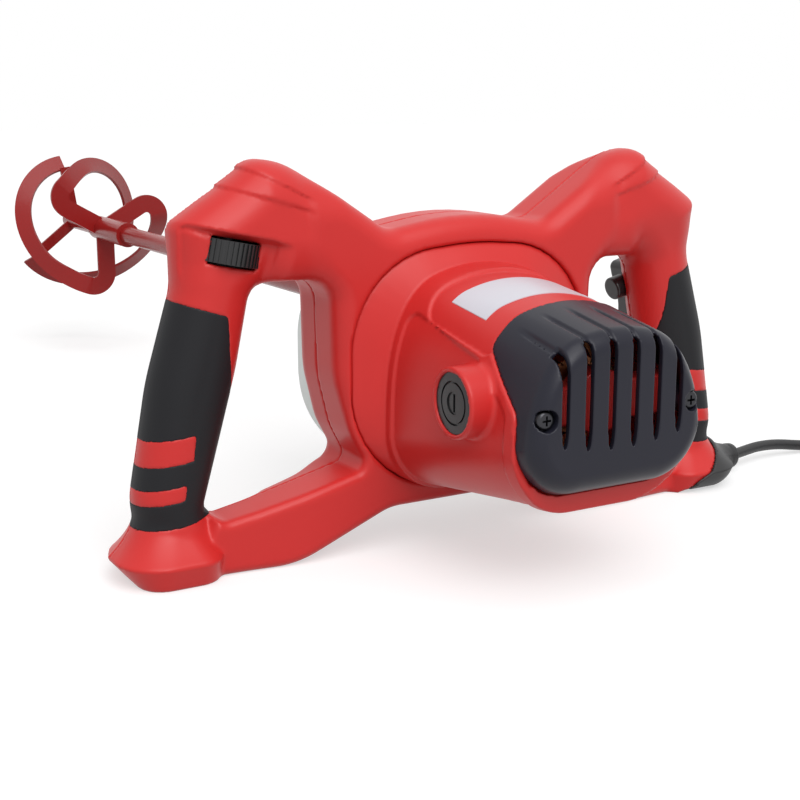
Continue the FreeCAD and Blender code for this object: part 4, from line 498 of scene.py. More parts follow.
def grained(name, colour, spread, grain_scale, roughness, rough_spread, depth):
    """Material with the grain in its colour and gloss, and a relief that still needs a height."""
    material, tree, output = shader_nodes(name)
    shader = tree.nodes.new("ShaderNodeBsdfPrincipled")
    surface = tree.nodes.new("ShaderNodeGroup")
    surface.node_tree = grain
    surface.inputs["Colour"].default_value = (*colour, 1.0)
    surface.inputs["Colour spread"].default_value = spread
    surface.inputs["Grain per metre"].default_value = grain_scale
    surface.inputs["Roughness"].default_value = roughness
    surface.inputs["Roughness spread"].default_value = rough_spread
    relief = tree.nodes.new("ShaderNodeBump")
    relief.inputs["Strength"].default_value = 1.0
    relief.inputs["Distance"].default_value = depth
    tree.links.new(surface.outputs["Colour"], shader.inputs["Base Color"])
    tree.links.new(surface.outputs["Roughness"], shader.inputs["Roughness"])
    tree.links.new(relief.outputs["Normal"], shader.inputs["Normal"])
    tree.links.new(shader.outputs[0], output.inputs["Surface"])
    return material, tree, shader, surface, relief


def moulded(name, colour, spread, grain_scale, roughness, rough_spread, depth, specular=0.5):
    """Moulded plastic or rubber: broad colour drift and a fine grain in gloss and relief."""
    material, tree, shader, surface, relief = grained(
        name, colour, spread, grain_scale, roughness, rough_spread, depth)
    shader.inputs["Specular IOR Level"].default_value = specular
    tree.links.new(surface.outputs["Height"], relief.inputs["Height"])
    return material


def finish_piece(piece, material, slot, *nodes):
    """Gives a modelled piece its material and the body of its solids; the slot it is given is not used."""
    piece.data.materials.append(material)
    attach(piece, frame["nodes"][nodes[0]]["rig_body"])
    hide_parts(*nodes)


STEP_EDGE = 0.0016
OPEN_EDGE_R = 0.0015
TRIGGER_Z = 0.112
TRIGGER_SLOT = (0.008, 0.0205)
TRIGGER_SLOT_R = 0.0045
LOCK_BORE_X = 0.020
LOCK_BORE_HALF = 0.010
LOCK_R = 0.0069
LOCK_Y = 0.009
LOCK_RISE = 0.011
DIAL_X = -0.128
DIAL_Z = 0.1548
DIAL_TILT = math.radians(12.0)
DIAL_WINDOW = (0.0122, 0.0066)
POCKET_EDGE = [
    (-0.1515, 0.1688, 0.003),
    (-0.1060, 0.1592, 0.004),
    (-0.1120, 0.1360, 0.005),
    (-0.1515, 0.1360, 0.003),
]
POCKET_T = 0.0012
POCKET_FADE_Z = 0.1395
POCKET_FADE = 0.013
SCREW_PLACES = ((0.098, 0.1675), (0.097, 0.02325), (0.141, 0.0125))
SCREW_BOSS_R = 0.0042
SCREW_BOSS_Y = 0.0206
SCREW_BOSS_ROOT_Y = 0.010
SCREW_BOSS_EDGE_R = 0.0006
SCREW_BOSS_BLEND = 0.0004
SCREW_RECESS_R = 0.0039
CORD_START = (0.148, -0.0066, 0.0154)
CORD_OUT = (0.206, -0.0004, 0.0086)
CORD_WAY_R = 0.0037
BOOT_INNER = 0.143
BOOT_SLANT = 0.62
RUBBER_EDGE = [
    (0.2000, 0.1475, 0.002),
    (0.1324, 0.1260, 0.003),
    (0.1314, 0.1080, 0.020),
    (0.1271, 0.0780, 0.020),
    (0.1294, 0.0310, 0.002),
    (0.2000, 0.0235, 0.002),
]
STRIPES = ((0.0595, 0.0120), (0.0410, 0.0070))
STRIPE_SHARE = 0.42
STRIPE_FALL = 0.15
STRIPE_END_X = 0.2
STRIPE_LEAN = 8
STRIPE_CORNER_R = 0.0008
RUBBER_T = 0.0022
RUBBER_PROUD = 0.0001
RUBBER_INNER_Y = -0.003
WRAP = 0.0095
WRAP_START = 0.002
WRAP_RUN = 0.008
RUBBER_LINE = rounded_line(RUBBER_EDGE)
POCKET_LINE = rounded_line(POCKET_EDGE)


def stripe_line(low, height):
    """Window in the rubber where the red shell shows as a stripe."""
    inner = grip_x(low) + GRIP_W * STRIPE_SHARE
    far = low - STRIPE_FALL * (STRIPE_END_X - inner)
    corners = (
        (inner, low),
        (inner - height / STRIPE_LEAN, low + height),
        (STRIPE_END_X, far + height),
        (STRIPE_END_X, far),
    )
    return rounded_line([(x, z, STRIPE_CORNER_R) for x, z in corners])


STRIPE_LINES = [stripe_line(low, height) for low, height in STRIPES]


def rubber_field(x, y, z):
    """Where the rubber overlay lies: the back of a grip and its outer side, but for the stripes."""
    side = np.abs(x)
    across = (side - grip_x(z) - GRIP_W / 2) * math.cos(GRIP_TILT)
    reach = RUBBER_INNER_Y + WRAP * ease((across - WRAP_START) / WRAP_RUN)
    zone = np.maximum(outline_distance(RUBBER_LINE, side, z), y - reach)
    for line in STRIPE_LINES:
        zone = np.maximum(zone, -outline_distance(line, side, z))
    return zone


def segment_distance(x, y, z, start, end):
    """Distance to a straight piece of line."""
    a = np.array(start)
    run = np.array(end) - a
    along = ((x - a[0]) * run[0] + (y - a[1]) * run[1] + (z - a[2]) * run[2]) / run.dot(run)
    along = np.clip(along, 0.0, 1.0)
    gaps = [p - a[k] - along * run[k] for k, p in enumerate((x, y, z))]
    return np.sqrt(sum(gap ** 2 for gap in gaps))


def boot_zone(x, z):
    """Negative under the slanted line where the boot takes over the right foot."""
    return (z - BOOT_SLANT * (x - BOOT_INNER)) / math.hypot(1.0, BOOT_SLANT)


def tilted(x, z, centre_x, centre_z, tilt):
    """Place in a frame turned about Y round a centre."""
    dx, dz = x - centre_x, z - centre_z
    return dx * math.cos(tilt) - dz * math.sin(tilt), dx * math.sin(tilt) + dz * math.cos(tilt)


def shell_field(x, y, z):
    """Both half shells before they are parted: hollow, with every opening cut."""
    solid = frame_field(x, y, z)
    pocket = ease(0.5 - outline_distance(POCKET_LINE, x, z) / STEP_EDGE)
    pocket = pocket * ease((z - POCKET_FADE_Z) / POCKET_FADE)
    solid = solid + POCKET_T * pocket * (y < 0)
    solid = solid + RUBBER_T * ease(-rubber_field(x, y, z) / STEP_EDGE)
    solid = both(solid, -outline_distance(OPEN_LINE, x, z), OPEN_EDGE_R)
    for screw_x, screw_z in SCREW_PLACES:
        boss = np.hypot(np.abs(x) - screw_x, z - screw_z) - SCREW_BOSS_R
        boss = both(boss, np.maximum(y - SCREW_BOSS_Y, SCREW_BOSS_ROOT_Y - y), SCREW_BOSS_EDGE_R)
        solid = joined(solid, boss, SCREW_BOSS_BLEND)
    shell = np.maximum(solid, -(solid + SHELL_WALL))
    shell = np.maximum(shell, -boot_zone(x, z))
    shell = np.maximum(shell, CORD_WAY_R - segment_distance(x, y, z, CORD_START, CORD_OUT))
    across, up = tilted(x, z, DIAL_X, DIAL_Z, DIAL_TILT)
    window = np.maximum(np.abs(across) - DIAL_WINDOW[0], np.abs(up) - DIAL_WINDOW[1])
    shell = np.maximum(shell, -np.maximum(window, y))
    across, up = tilted(x, z, grip_x(TRIGGER_Z) + GRIP_W / 2, TRIGGER_Z, -GRIP_TILT)
    slot = both(np.abs(across) - TRIGGER_SLOT[0], np.abs(up) - TRIGGER_SLOT[1], TRIGGER_SLOT_R)
    shell = np.maximum(shell, -np.maximum(slot, -y))
    bore = np.hypot(y - LOCK_Y, up - LOCK_RISE) - LOCK_R
    shell = np.maximum(shell, -np.maximum(bore, np.abs(across + LOCK_BORE_X) - LOCK_BORE_HALF))
    for screw_x, screw_z in SCREW_PLACES:
        recess = np.hypot(np.abs(x) - screw_x, z - screw_z) - SCREW_RECESS_R
        shell = np.maximum(shell, -np.maximum(recess, SCREW_BOSS_Y - y))
    return shell


def rear_field(x, y, z):
    return np.maximum(shell_field(x, y, z), y + PARTING_GAP)


def front_field(x, y, z):
    return np.maximum(shell_field(x, y, z), PARTING_GAP - y)


def overlay_field(x, y, z):
    """Rubber overlay: a thin skin on the grip, its top just proud of the shell."""
    solid = frame_field(x, y, z)
    layer = np.maximum(solid - RUBBER_PROUD, -(solid + RUBBER_T - RUBBER_PROUD))
    return np.maximum(layer, rubber_field(x, y, z))


red_plastic = moulded("red_plastic", (0.61, 0.027, 0.025), spread=0.06, grain_scale=1800.0,
                      roughness=0.38, rough_spread=0.08, depth=0.00002, specular=0.34)
SHELL_PITCH = 0.0013
SHELL_LAP = 0.002
REACH_X = 0.193
REACH_Y = 0.033
REACH_Z = 0.198
rear_shell = skin("rear_shell", rear_field, (-REACH_X, -REACH_Y, -SHELL_LAP),
                  (REACH_X, SHELL_LAP, REACH_Z), SHELL_PITCH)
finish_piece(rear_shell, red_plastic, "red_plastic", "handle_shell_rear")
front_shell = skin("front_shell", front_field, (-REACH_X, -SHELL_LAP, -SHELL_LAP),
                   (REACH_X, REACH_Y, REACH_Z), SHELL_PITCH)
finish_piece(front_shell, red_plastic, "red_plastic", "handle_shell_front")

# Grip overlays: soft black rubber moulded over the back and the outer side of each grip,
# with two windows in which the red shell shows as stripes.
grip_rubber = moulded("grip_rubber", (0.0085, 0.0085, 0.0105), spread=0.3, grain_scale=2200.0,
                      roughness=0.55, rough_spread=0.14, depth=0.00004, specular=0.25)
OVERLAY_X = (0.118, 0.186)
OVERLAY_Y = (-0.024, 0.013)
OVERLAY_Z = (0.026, 0.146)
FINE_PITCH = 0.0007
for name, low_x, high_x in (
    ("left_grip", -OVERLAY_X[1], -OVERLAY_X[0]),
    ("right_grip", OVERLAY_X[0], OVERLAY_X[1]),
):
    low = (low_x, OVERLAY_Y[0], OVERLAY_Z[0])
    high = (high_x, OVERLAY_Y[1], OVERLAY_Z[1])
    overlay = skin(name, overlay_field, low, high, FINE_PITCH)
    finish_piece(overlay, grip_rubber, "grip_rubber", name + "_rubber")

# Controls: a ribbed speed dial in the left shoulder, and the trigger and its lock button in
# the right grip. All three are black mouldings that ride on joints of their own.
CREASE = math.radians(35.0)
MERGE_GAP = 2e-6


def merged_copy(node, name, material):
    """Copy of a solid with its triangles joined, smooth but for edges sharper than the crease angle."""
    work = bmesh.new()
    work.from_mesh(frame["nodes"][node].data)
    bmesh.ops.remove_doubles(work, verts=work.verts, dist=MERGE_GAP)
    for face in work.faces:
        face.smooth = True
        face.material_index = 0
    for edge in work.edges:
        edge.smooth = edge.calc_face_angle(0.0) < CREASE
    mesh = bpy.data.meshes.new(name)
    work.to_mesh(mesh)
    work.free()
    if "custom_normal" in mesh.attributes:
        mesh.attributes.remove(mesh.attributes["custom_normal"])
    mesh.materials.append(material)
    piece = bpy.data.objects.new(name, mesh)
    scene.collection.objects.link(piece)
    flatter = piece.modifiers.new("flatter", "WEIGHTED_NORMAL")
    flatter.keep_sharp = True
    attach(piece, frame["nodes"][node]["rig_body"])
    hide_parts(node)
    return piece


black_part = moulded("black_part", (0.012, 0.012, 0.013), spread=0.2, grain_scale=1500.0,
                     roughness=0.32, rough_spread=0.10, depth=0.00002)
DIAL_Y = -0.0075
DIAL_R = 0.0166
DIAL_T = 0.011
DIAL_RIBS = 44
RIB_SIZE = (0.0014, 0.0011, DIAL_T * 0.96)
DISC_SIDES = 96
wheel_tree = bpy.data.node_groups.new("ribbed_wheel", "GeometryNodeTree")
wheel_inputs = {}
for name, kind in (
    ("Ribs", "NodeSocketInt"),
    ("Radius", "NodeSocketFloat"),
    ("Thickness", "NodeSocketFloat"),
    ("Rib size", "NodeSocketVector"),
    ("Material", "NodeSocketMaterial"),
):
    socket = wheel_tree.interface.new_socket(name, in_out="INPUT", socket_type=kind)
    wheel_inputs[name] = socket.identifier
wheel_tree.interface.new_socket("Geometry", in_out="OUTPUT", socket_type="NodeSocketGeometry")
wheel_in = wheel_tree.nodes.new("NodeGroupInput")
wheel_out = wheel_tree.nodes.new("NodeGroupOutput")
disc = wheel_tree.nodes.new("GeometryNodeMeshCylinder")
disc.inputs["Vertices"].default_value = DISC_SIDES
ring = wheel_tree.nodes.new("GeometryNodeMeshCircle")
rib = wheel_tree.nodes.new("GeometryNodeMeshCube")
spot = wheel_tree.nodes.new("GeometryNodeInputPosition")
turn = wheel_tree.nodes.new("FunctionNodeAlignRotationToVector")
turn.axis = "X"
ribs = wheel_tree.nodes.new("GeometryNodeInstanceOnPoints")
real = wheel_tree.nodes.new("GeometryNodeRealizeInstances")
whole = wheel_tree.nodes.new("GeometryNodeJoinGeometry")
paint = wheel_tree.nodes.new("GeometryNodeSetMaterial")
for source, target in (
    (wheel_in.outputs["Radius"], disc.inputs["Radius"]),
    (wheel_in.outputs["Thickness"], disc.inputs["Depth"]),
    (wheel_in.outputs["Ribs"], ring.inputs["Vertices"]),
    (wheel_in.outputs["Radius"], ring.inputs["Radius"]),
    (wheel_in.outputs["Rib size"], rib.inputs["Size"]),
    (spot.outputs["Position"], turn.inputs["Vector"]),
    (ring.outputs["Mesh"], ribs.inputs["Points"]),
    (rib.outputs["Mesh"], ribs.inputs["Instance"]),
    (turn.outputs["Rotation"], ribs.inputs["Rotation"]),
    (disc.outputs["Mesh"], whole.inputs["Geometry"]),
    (ribs.outputs["Instances"], whole.inputs["Geometry"]),
    (whole.outputs["Geometry"], real.inputs["Geometry"]),
    (real.outputs["Geometry"], paint.inputs["Geometry"]),
    (wheel_in.outputs["Material"], paint.inputs["Material"]),
    (paint.outputs["Geometry"], wheel_out.inputs["Geometry"]),
):
    wheel_tree.links.new(source, target)


def grown(name, tree, inputs, values):
    """Mesh object made by a geometry tree, with its modifier worked in and taken off."""
    piece = bpy.data.objects.new(name, bpy.data.meshes.new(name))
    scene.collection.objects.link(piece)
    maker = piece.modifiers.new("maker", "NODES")
    maker.node_group = tree
    for key, value in values.items():
        maker[inputs[key]] = value
    bpy.context.view_layer.update()
    made = piece.evaluated_get(bpy.context.evaluated_depsgraph_get())
    mesh = bpy.data.meshes.new_from_object(made)
    piece.modifiers.clear()
    piece.data = mesh
    return piece


dial = grown("dial", wheel_tree, wheel_inputs, {
    "Ribs": DIAL_RIBS,
    "Radius": DIAL_R,
    "Thickness": DIAL_T,
    "Rib size": RIB_SIZE,
    "Material": black_part,
})
dial_place = Matrix.Translation((DIAL_X, DIAL_Y + SHIFT_Y, DIAL_Z)) @ Matrix.Rotation(DIAL_TILT, 4, "Y")
dial.data.transform(dial_place)
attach(dial, "speed_dial")
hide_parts("speed_dial")
merged_copy("trigger", "trigger_lever", black_part)
merged_copy("lock_button", "lock", black_part)

# Motor housing: red moulded barrel with an arched top, a flange that flares into the frame's
# ring, raised bands round sunk fields, and a round boss on each side for a brush.
FLANGE_REAR = 0.024
FLANGE_GAP = 0.0004
FLARE_L = 0.007
FLARE_BEND = 1.15
BARREL_FRONT = 0.036
BARREL_LENGTH = 0.098
BARREL_HALF = 0.055
BARREL_NARROWING = 0.0055
BARREL_LOW = 0.0315
BARREL_LOW_RISE = 0.012
BARREL_LOW_R = 0.033
BARREL_TOP = 0.1435
BARREL_TOP_FALL = 0.0125
BARREL_TOP_R = 0.028
BARREL_WALL = 0.004
BARREL_BOX = ((-0.072, -0.136, 0.027), (0.072, 0.002, 0.157))
BARREL_PITCH = 0.0011
CROWN_R = 0.080
BAND_T = 0.0016
TOP_FIELD_HALF = (0.043, 0.0315)
TOP_FIELD_Y = -0.0765
TOP_FIELD_Z = 0.105
TOP_FIELD_R = 0.010
FLANK_X = 0.020
BRUSH_Y = -0.099
BOSS_R = 0.0165
BOSS_X = 0.060
BOSS_ROOT_X = 0.030
BOSS_EDGE_R = 0.0012
BOSS_BLEND = 0.003
BRUSH_POCKET_R = 0.0142
BRUSH_POCKET_X = 0.053
ROOM_FRONT = -0.084
BRIDGE_Y = -0.1235
BRIDGE_HALF = (0.044, 0.0065, 0.009)
BRIDGE_HUB_R = 0.015
CAP_FIT = 0.0003
SEAM_EDGE = [
    (-0.1010, 0.2020, 0.001),
    (-0.1010, 0.1160, 0.006),
    (-0.1310, 0.0910, 0.010),
    (-0.1340, 0.0575, 0.012),
    (-0.1250, 0.0215, 0.001),
    (-0.2680, 0.0215, 0.001),
    (-0.2680, 0.2020, 0.001),
]
FLANK_EDGE = [
    (-0.0360, 0.1245, 0.006),
    (-0.0970, 0.1100, 0.012),
    (-0.1240, 0.0910, 0.010),
    (-0.1250, 0.0200, 0.002),
    (-0.0360, 0.0200, 0.002),
]
SEAM_LINE = rounded_line(SEAM_EDGE)
FLANK_LINE = rounded_line(FLANK_EDGE)


def crowned_field(x, z, half, low, top, top_r, low_r):
    """Section with straight sides, round lower corners and an arched top."""
    sides = np.abs(x) - half
    upper = both(sides, np.hypot(x, z - top + CROWN_R) - CROWN_R, top_r)
    return np.maximum(upper, both(sides, low - z, low_r))


def barrel_section(x, y, z):
    """Outside of the barrel, which narrows towards the rear."""
    share = (-y - BARREL_FRONT) / BARREL_LENGTH
    half = BARREL_HALF - BARREL_NARROWING * share
    low = BARREL_LOW + BARREL_LOW_RISE * share
    top = BARREL_TOP - BARREL_TOP_FALL * share
    return crowned_field(x, z, half, low, top, BARREL_TOP_R, BARREL_LOW_R)


CAP_SEAM = 0.101
CAP_LENGTH = 0.045
CAP_HALF = 0.0503
CAP_NARROWING = 0.0025
CAP_LOW = 0.0440
CAP_LOW_RISE = 0.013
CAP_LOW_R = 0.026
CAP_TOP = 0.1342
CAP_TOP_FALL = 0.008
CAP_TOP_R = 0.027


def cap_section(x, y, z):
    """Outside of the cap before its rear edge is rounded; it fits inside the barrel's end."""
    share = np.clip((-y - CAP_SEAM) / CAP_LENGTH, 0.0, 1.0)
    half = CAP_HALF - CAP_NARROWING * share
    low = CAP_LOW + CAP_LOW_RISE * share
    top = CAP_TOP - CAP_TOP_FALL * share
    return crowned_field(x, z, half, low, top, CAP_TOP_R, CAP_LOW_R)


def housing_field(x, y, z):
    """Motor housing: flange, flare and barrel, open at the rear where the cap takes over."""
    section = barrel_section(x, y, z)
    top_field = both(np.abs(x) - TOP_FIELD_HALF[0], np.abs(y - TOP_FIELD_Y) - TOP_FIELD_HALF[1], TOP_FIELD_R)
    top_field = top_field + (z < TOP_FIELD_Z)
    flank = outline_distance(FLANK_LINE, y, z) + (np.abs(x) < FLANK_X)
    sunk = np.maximum(ease(0.5 - top_field / STEP_EDGE), ease(0.5 - flank / STEP_EDGE))
    rim = outline_distance(OPEN_LINE, x, z) + FLANGE_GAP
    flare = np.clip((-y - FLANGE_REAR) / FLARE_L, 0.0, 1.0) ** FLARE_BEND
    body = rim + (section + BAND_T * sunk - rim) * flare
    from_brush = np.hypot(y - BRUSH_Y, z - MOTOR_Z)
    boss = both(from_brush - BOSS_R, np.abs(x) - BOSS_X, BOSS_EDGE_R)
    body = joined(body, np.maximum(boss, BOSS_ROOT_X - np.abs(x)), BOSS_BLEND)
    body = np.maximum(body, -outline_distance(SEAM_LINE, y, z))
    body = np.maximum(body, y)
    room = np.maximum(np.maximum(section + BARREL_WALL, cap_section(x, y, z) - CAP_FIT), y - ROOM_FRONT)
    body = np.maximum(body, -room)
    bar = np.maximum(np.abs(x) - BRIDGE_HALF[0], np.abs(z - MOTOR_Z) - BRIDGE_HALF[2])
    hub = np.hypot(x, z - MOTOR_Z) - BRIDGE_HUB_R
    bridge = np.maximum(np.minimum(bar, hub), np.abs(y - BRIDGE_Y) - BRIDGE_HALF[1])
    body = np.minimum(body, bridge)
    pocket = np.maximum(from_brush - BRUSH_POCKET_R, BRUSH_POCKET_X - np.abs(x))
    return np.maximum(body, -pocket)


barrel = skin("barrel", housing_field, *BARREL_BOX, BARREL_PITCH)
finish_piece(barrel, red_plastic, "red_plastic", "motor_housing")

# Rear cap: dark moulded cup over the barrel's end, domed, with six tapered air slots that run
# out over the top as shallow grooves, held by two cross-head screws in recesses.
CAP_REAR = -0.146
CAP_EDGE_R = 0.008
CAP_WALL = 0.003
CAP_BOX = ((-0.053, -0.148, 0.040), (0.053, -0.099, 0.137))
CAP_SCREW = (0.0403, 0.091)
CAP_POST_R = 0.0065
CAP_POST_FRONT = -0.130
CAP_RECESS_R = 0.005
CAP_RECESS_FLOOR = -0.141
SEAM_GAP = 0.0002
SLOT_COUNT = 6
SLOT_PITCH = 0.0126
SLOT_HALF = 0.0020
SLOT_LOW = 0.074
SLOT_TAPER = 0.011
SLOT_HIGH = 0.122
SLOT_BOW = 3.5
SLOT_FRONT = -0.136
GROOVE_T = 0.0010
GROOVE_SIDE = 0.0012
GROOVE_FLAT = 0.4
GROOVE_START = -0.108
GROOVE_FADE = 0.014
GROOVE_LAP = 0.004


def cap_field(x, y, z):
    """Rear cap: a cup with posts for its screws, slots, grooves and screw recesses."""
    outer = both(cap_section(x, y, z), CAP_REAR - y, CAP_EDGE_R)
    cap = np.maximum(outer, -(outer + CAP_WALL))
    post = np.hypot(np.abs(x) - CAP_SCREW[0], z - CAP_SCREW[1])
    cap = np.minimum(cap, np.maximum(np.maximum(post - CAP_POST_R, outer), y - CAP_POST_FRONT))
    for i in range(SLOT_COUNT):
        slot_x = (i - (SLOT_COUNT - 1) / 2) * SLOT_PITCH
        low = SLOT_LOW + SLOT_BOW * slot_x ** 2
        taper = np.sqrt(1.0 - (1.0 - np.clip((z - low) / SLOT_TAPER, 0.0, 1.0)) ** 2)
        off = np.abs(x - slot_x)
        ends = np.maximum(low - z, np.maximum(z - SLOT_HIGH, y - SLOT_FRONT))
        cap = np.maximum(cap, -np.maximum(off - SLOT_HALF * taper, ends))
        groove = ease(1.0 + GROOVE_FLAT - off / GROOVE_SIDE) * ease((GROOVE_START - y) / GROOVE_FADE)
        cap = cap + GROOVE_T * (groove * (z > SLOT_HIGH - GROOVE_LAP))
    cap = np.maximum(cap, outline_distance(SEAM_LINE, y, z) + SEAM_GAP)
    return np.maximum(cap, -np.maximum(post - CAP_RECESS_R, y - CAP_RECESS_FLOOR))


cap_plastic = moulded("cap_plastic", (0.0150, 0.0150, 0.0245), spread=0.15, grain_scale=1800.0,
                      roughness=0.33, rough_spread=0.08, depth=0.00002, specular=0.25)
inlet_cap = skin("inlet_cap", cap_field, *CAP_BOX, FINE_PITCH)
finish_piece(inlet_cap, cap_plastic, "dark_plastic", "rear_cap")
METAL_SPREAD = 0.25
METAL_ROUGH_SPREAD = 0.2


def metal(name, colour, roughness, marks, stretch, depth):
    """Bare metal whose tool marks are a noise drawn out along one axis."""
    material, tree, shader, surface, relief = grained(
        name, colour, METAL_SPREAD, marks, roughness, METAL_ROUGH_SPREAD, depth)
    shader.inputs["Metallic"].default_value = 1.0
    where = tree.nodes.new("ShaderNodeTexCoord")
    drawn = tree.nodes.new("ShaderNodeMapping")
    drawn.inputs["Scale"].default_value = stretch
    tree.links.new(where.outputs["Object"], drawn.inputs["Vector"])
    lines = tree.nodes.new("ShaderNodeTexNoise")
    lines.inputs["Scale"].default_value = marks
    tree.links.new(drawn.outputs["Vector"], lines.inputs["Vector"])
    tree.links.new(lines.outputs["Fac"], relief.inputs["Height"])
    return material


black_screw = metal("black_screw", (0.05, 0.05, 0.055), roughness=0.35, marks=900.0,
                    stretch=(1.0, 0.3, 1.0), depth=0.00001)
merged_copy("rear_cap_screws", "cap_screws", black_screw)

# Brush caps: slotted black screw caps of moulded plastic that close the brush holders, one in
# the boss on each side of the motor housing.
merged_copy("brush_caps", "brush_screws", black_part)

# Label: a bare pale film glued on the sunk field on top of the motor housing. It is a grid
# laid on the barrel's arch and given a thickness.
label_film = moulded("label_film", (0.62, 0.62, 0.68), spread=0.04, grain_scale=2500.0,
                     roughness=0.30, rough_spread=0.05, depth=0.00001)
LABEL_HALF = 0.034
LABEL_FRONT = -0.058
LABEL_REAR = -0.087
LABEL_HALF_T = 0.0004
LABEL_ABOVE = 0.160
SEATING_ROUNDS = 40
rows = 25
columns = 57
across = np.linspace(-LABEL_HALF, LABEL_HALF, columns)
along = np.linspace(LABEL_REAR, LABEL_FRONT, rows)
label_x, label_y = np.meshgrid(across, along)
label_z = np.full(label_x.shape, LABEL_ABOVE)
for _ in range(SEATING_ROUNDS):
    label_z = label_z - (barrel_section(label_x, label_y, label_z) + BAND_T)
sheet = np.stack([label_x, label_y + SHIFT_Y, label_z], 2).reshape(-1, 3)
points = np.concatenate([sheet + (0.0, 0.0, LABEL_HALF_T), sheet - (0.0, 0.0, LABEL_HALF_T)])
number = np.arange(rows * columns).reshape(rows, columns)
top = np.stack([number[:-1, :-1], number[:-1, 1:], number[1:, 1:], number[1:, :-1]], 2).reshape(-1, 4)
rim = np.concatenate([number[0], number[1:, -1], number[-1, -2::-1], number[-2:0:-1, 0]])
onward = np.roll(rim, -1)
low = rows * columns
walls = np.stack([rim, rim + low, onward + low, onward], 1)
label_mesh = bpy.data.meshes.new("label")
label_mesh.from_pydata(points.tolist(), [], np.concatenate([top, top[:, ::-1] + low, walls]).tolist())
label = bpy.data.objects.new("label", label_mesh)
scene.collection.objects.link(label)
finish_piece(label, label_film, "label_film", "label_plate")

# Mains cord: round rubber-sheathed cable that leaves the right foot through its boot,
# lies on the floor and is wound into a put-away coil, first inwards, then out on top.
CORD_R = 0.00325
COIL_X = 0.322
COIL_Y = -0.052
COIL_TURNS = 4
COIL_PITCH = 0.0071
COIL_LAYER = 0.0071
COIL_MIDDLE_R = 0.0385
COIL_START_R = COIL_MIDDLE_R + COIL_TURNS * COIL_PITCH / 2
COIL_CLIMB = 0.5
COIL_EXIT_Z = 0.0172
POINTS_PER_TURN = 16
ROUTE = [
    CORD_START,
    (0.165, -0.0050, 0.0134),
    (0.185, -0.0030, 0.0107),
    CORD_OUT,
    (0.220, 0.0034, 0.0086),
    (0.234, 0.0066, 0.0089),
    (0.252, 0.0080, 0.0078),
    (0.269, 0.0058, 0.0052),
    (0.286, 0.0028, 0.0036),
    (0.302, 0.0012, 0.00325),
    (COIL_X - 2 * CORD_R, COIL_Y + COIL_START_R, CORD_R),
]


def coil_point(turns):
    """Centre line of the coil: in on the floor, out again on top, then up to the plug."""
    spread = min(turns, 2 * COIL_TURNS + COIL_CLIMB - turns)
    radius = COIL_START_R - COIL_PITCH * spread
    z = CORD_R + COIL_LAYER * ease((turns - COIL_TURNS) / COIL_CLIMB)
    z += (COIL_EXIT_Z - CORD_R - COIL_LAYER) * ease((turns - 2 * COIL_TURNS) / COIL_CLIMB)
    angle = math.pi / 2 - 2 * math.pi * turns
    return (COIL_X + radius * math.cos(angle), COIL_Y + radius * math.sin(angle), z)


steps = int((2 * COIL_TURNS + COIL_CLIMB) * POINTS_PER_TURN)
line = ROUTE + [coil_point(i / POINTS_PER_TURN) for i in range(steps + 1)]
end_x, end_y, end_z = line[-1]
line.append((end_x - 2 * CORD_R, end_y, end_z))
cord_curve = bpy.data.curves.new("mains_cord", "CURVE")
cord_curve.dimensions = "3D"
cord_curve.bevel_depth = CORD_R
cord_curve.bevel_resolution = 5
cord_curve.resolution_u = 5
cord_curve.use_fill_caps = True
spline = cord_curve.splines.new("NURBS")
spline.points.add(len(line) - 1)
for point, (x, y, z) in zip(spline.points, line):
    point.co = (x, y + SHIFT_Y, z, 1.0)
spline.order_u = 3
spline.use_endpoint_u = True
mains_cord = bpy.data.objects.new("mains_cord", cord_curve)
scene.collection.objects.link(mains_cord)
cord_sheath = moulded("cord_sheath", (0.014, 0.014, 0.015), spread=0.3, grain_scale=900.0,
                      roughness=0.45, rough_spread=0.12, depth=0.00004)
cord_curve.materials.append(cord_sheath)
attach(mains_cord, "housing")
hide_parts("power_cord", "cord_coil")

# Boot, plug, pins and tie: the moulded rubber boot closes the right foot round the cord,
# the plug is moulded on the far end, and a woven strap holds the coil.
BOOT_IN = (0.176, -0.0039, 0.0119)
BOOT_LENGTH = 0.029
BOOT_R = 0.0105
BOOT_NECK_R = 0.0066
BOOT_COLLAR_R = 0.0076
BOOT_COLLAR_L = 0.005
BOOT_COLLAR_EDGE_R = 0.001
BOOT_EDGE_R = 0.0012
BOOT_SOLE_R = 0.009
BOOT_SWELL = 0.0018
BOOT_LAP = 0.0015
BOOT_BLEND = 0.010
BOOT_GAP = 0.0002
BOOT_CORD_GAP = 0.0001
BOOT_BOX = ((0.136, -0.037, -0.003), (0.209, 0.037, 0.036))
BOOT_PITCH = 0.0008


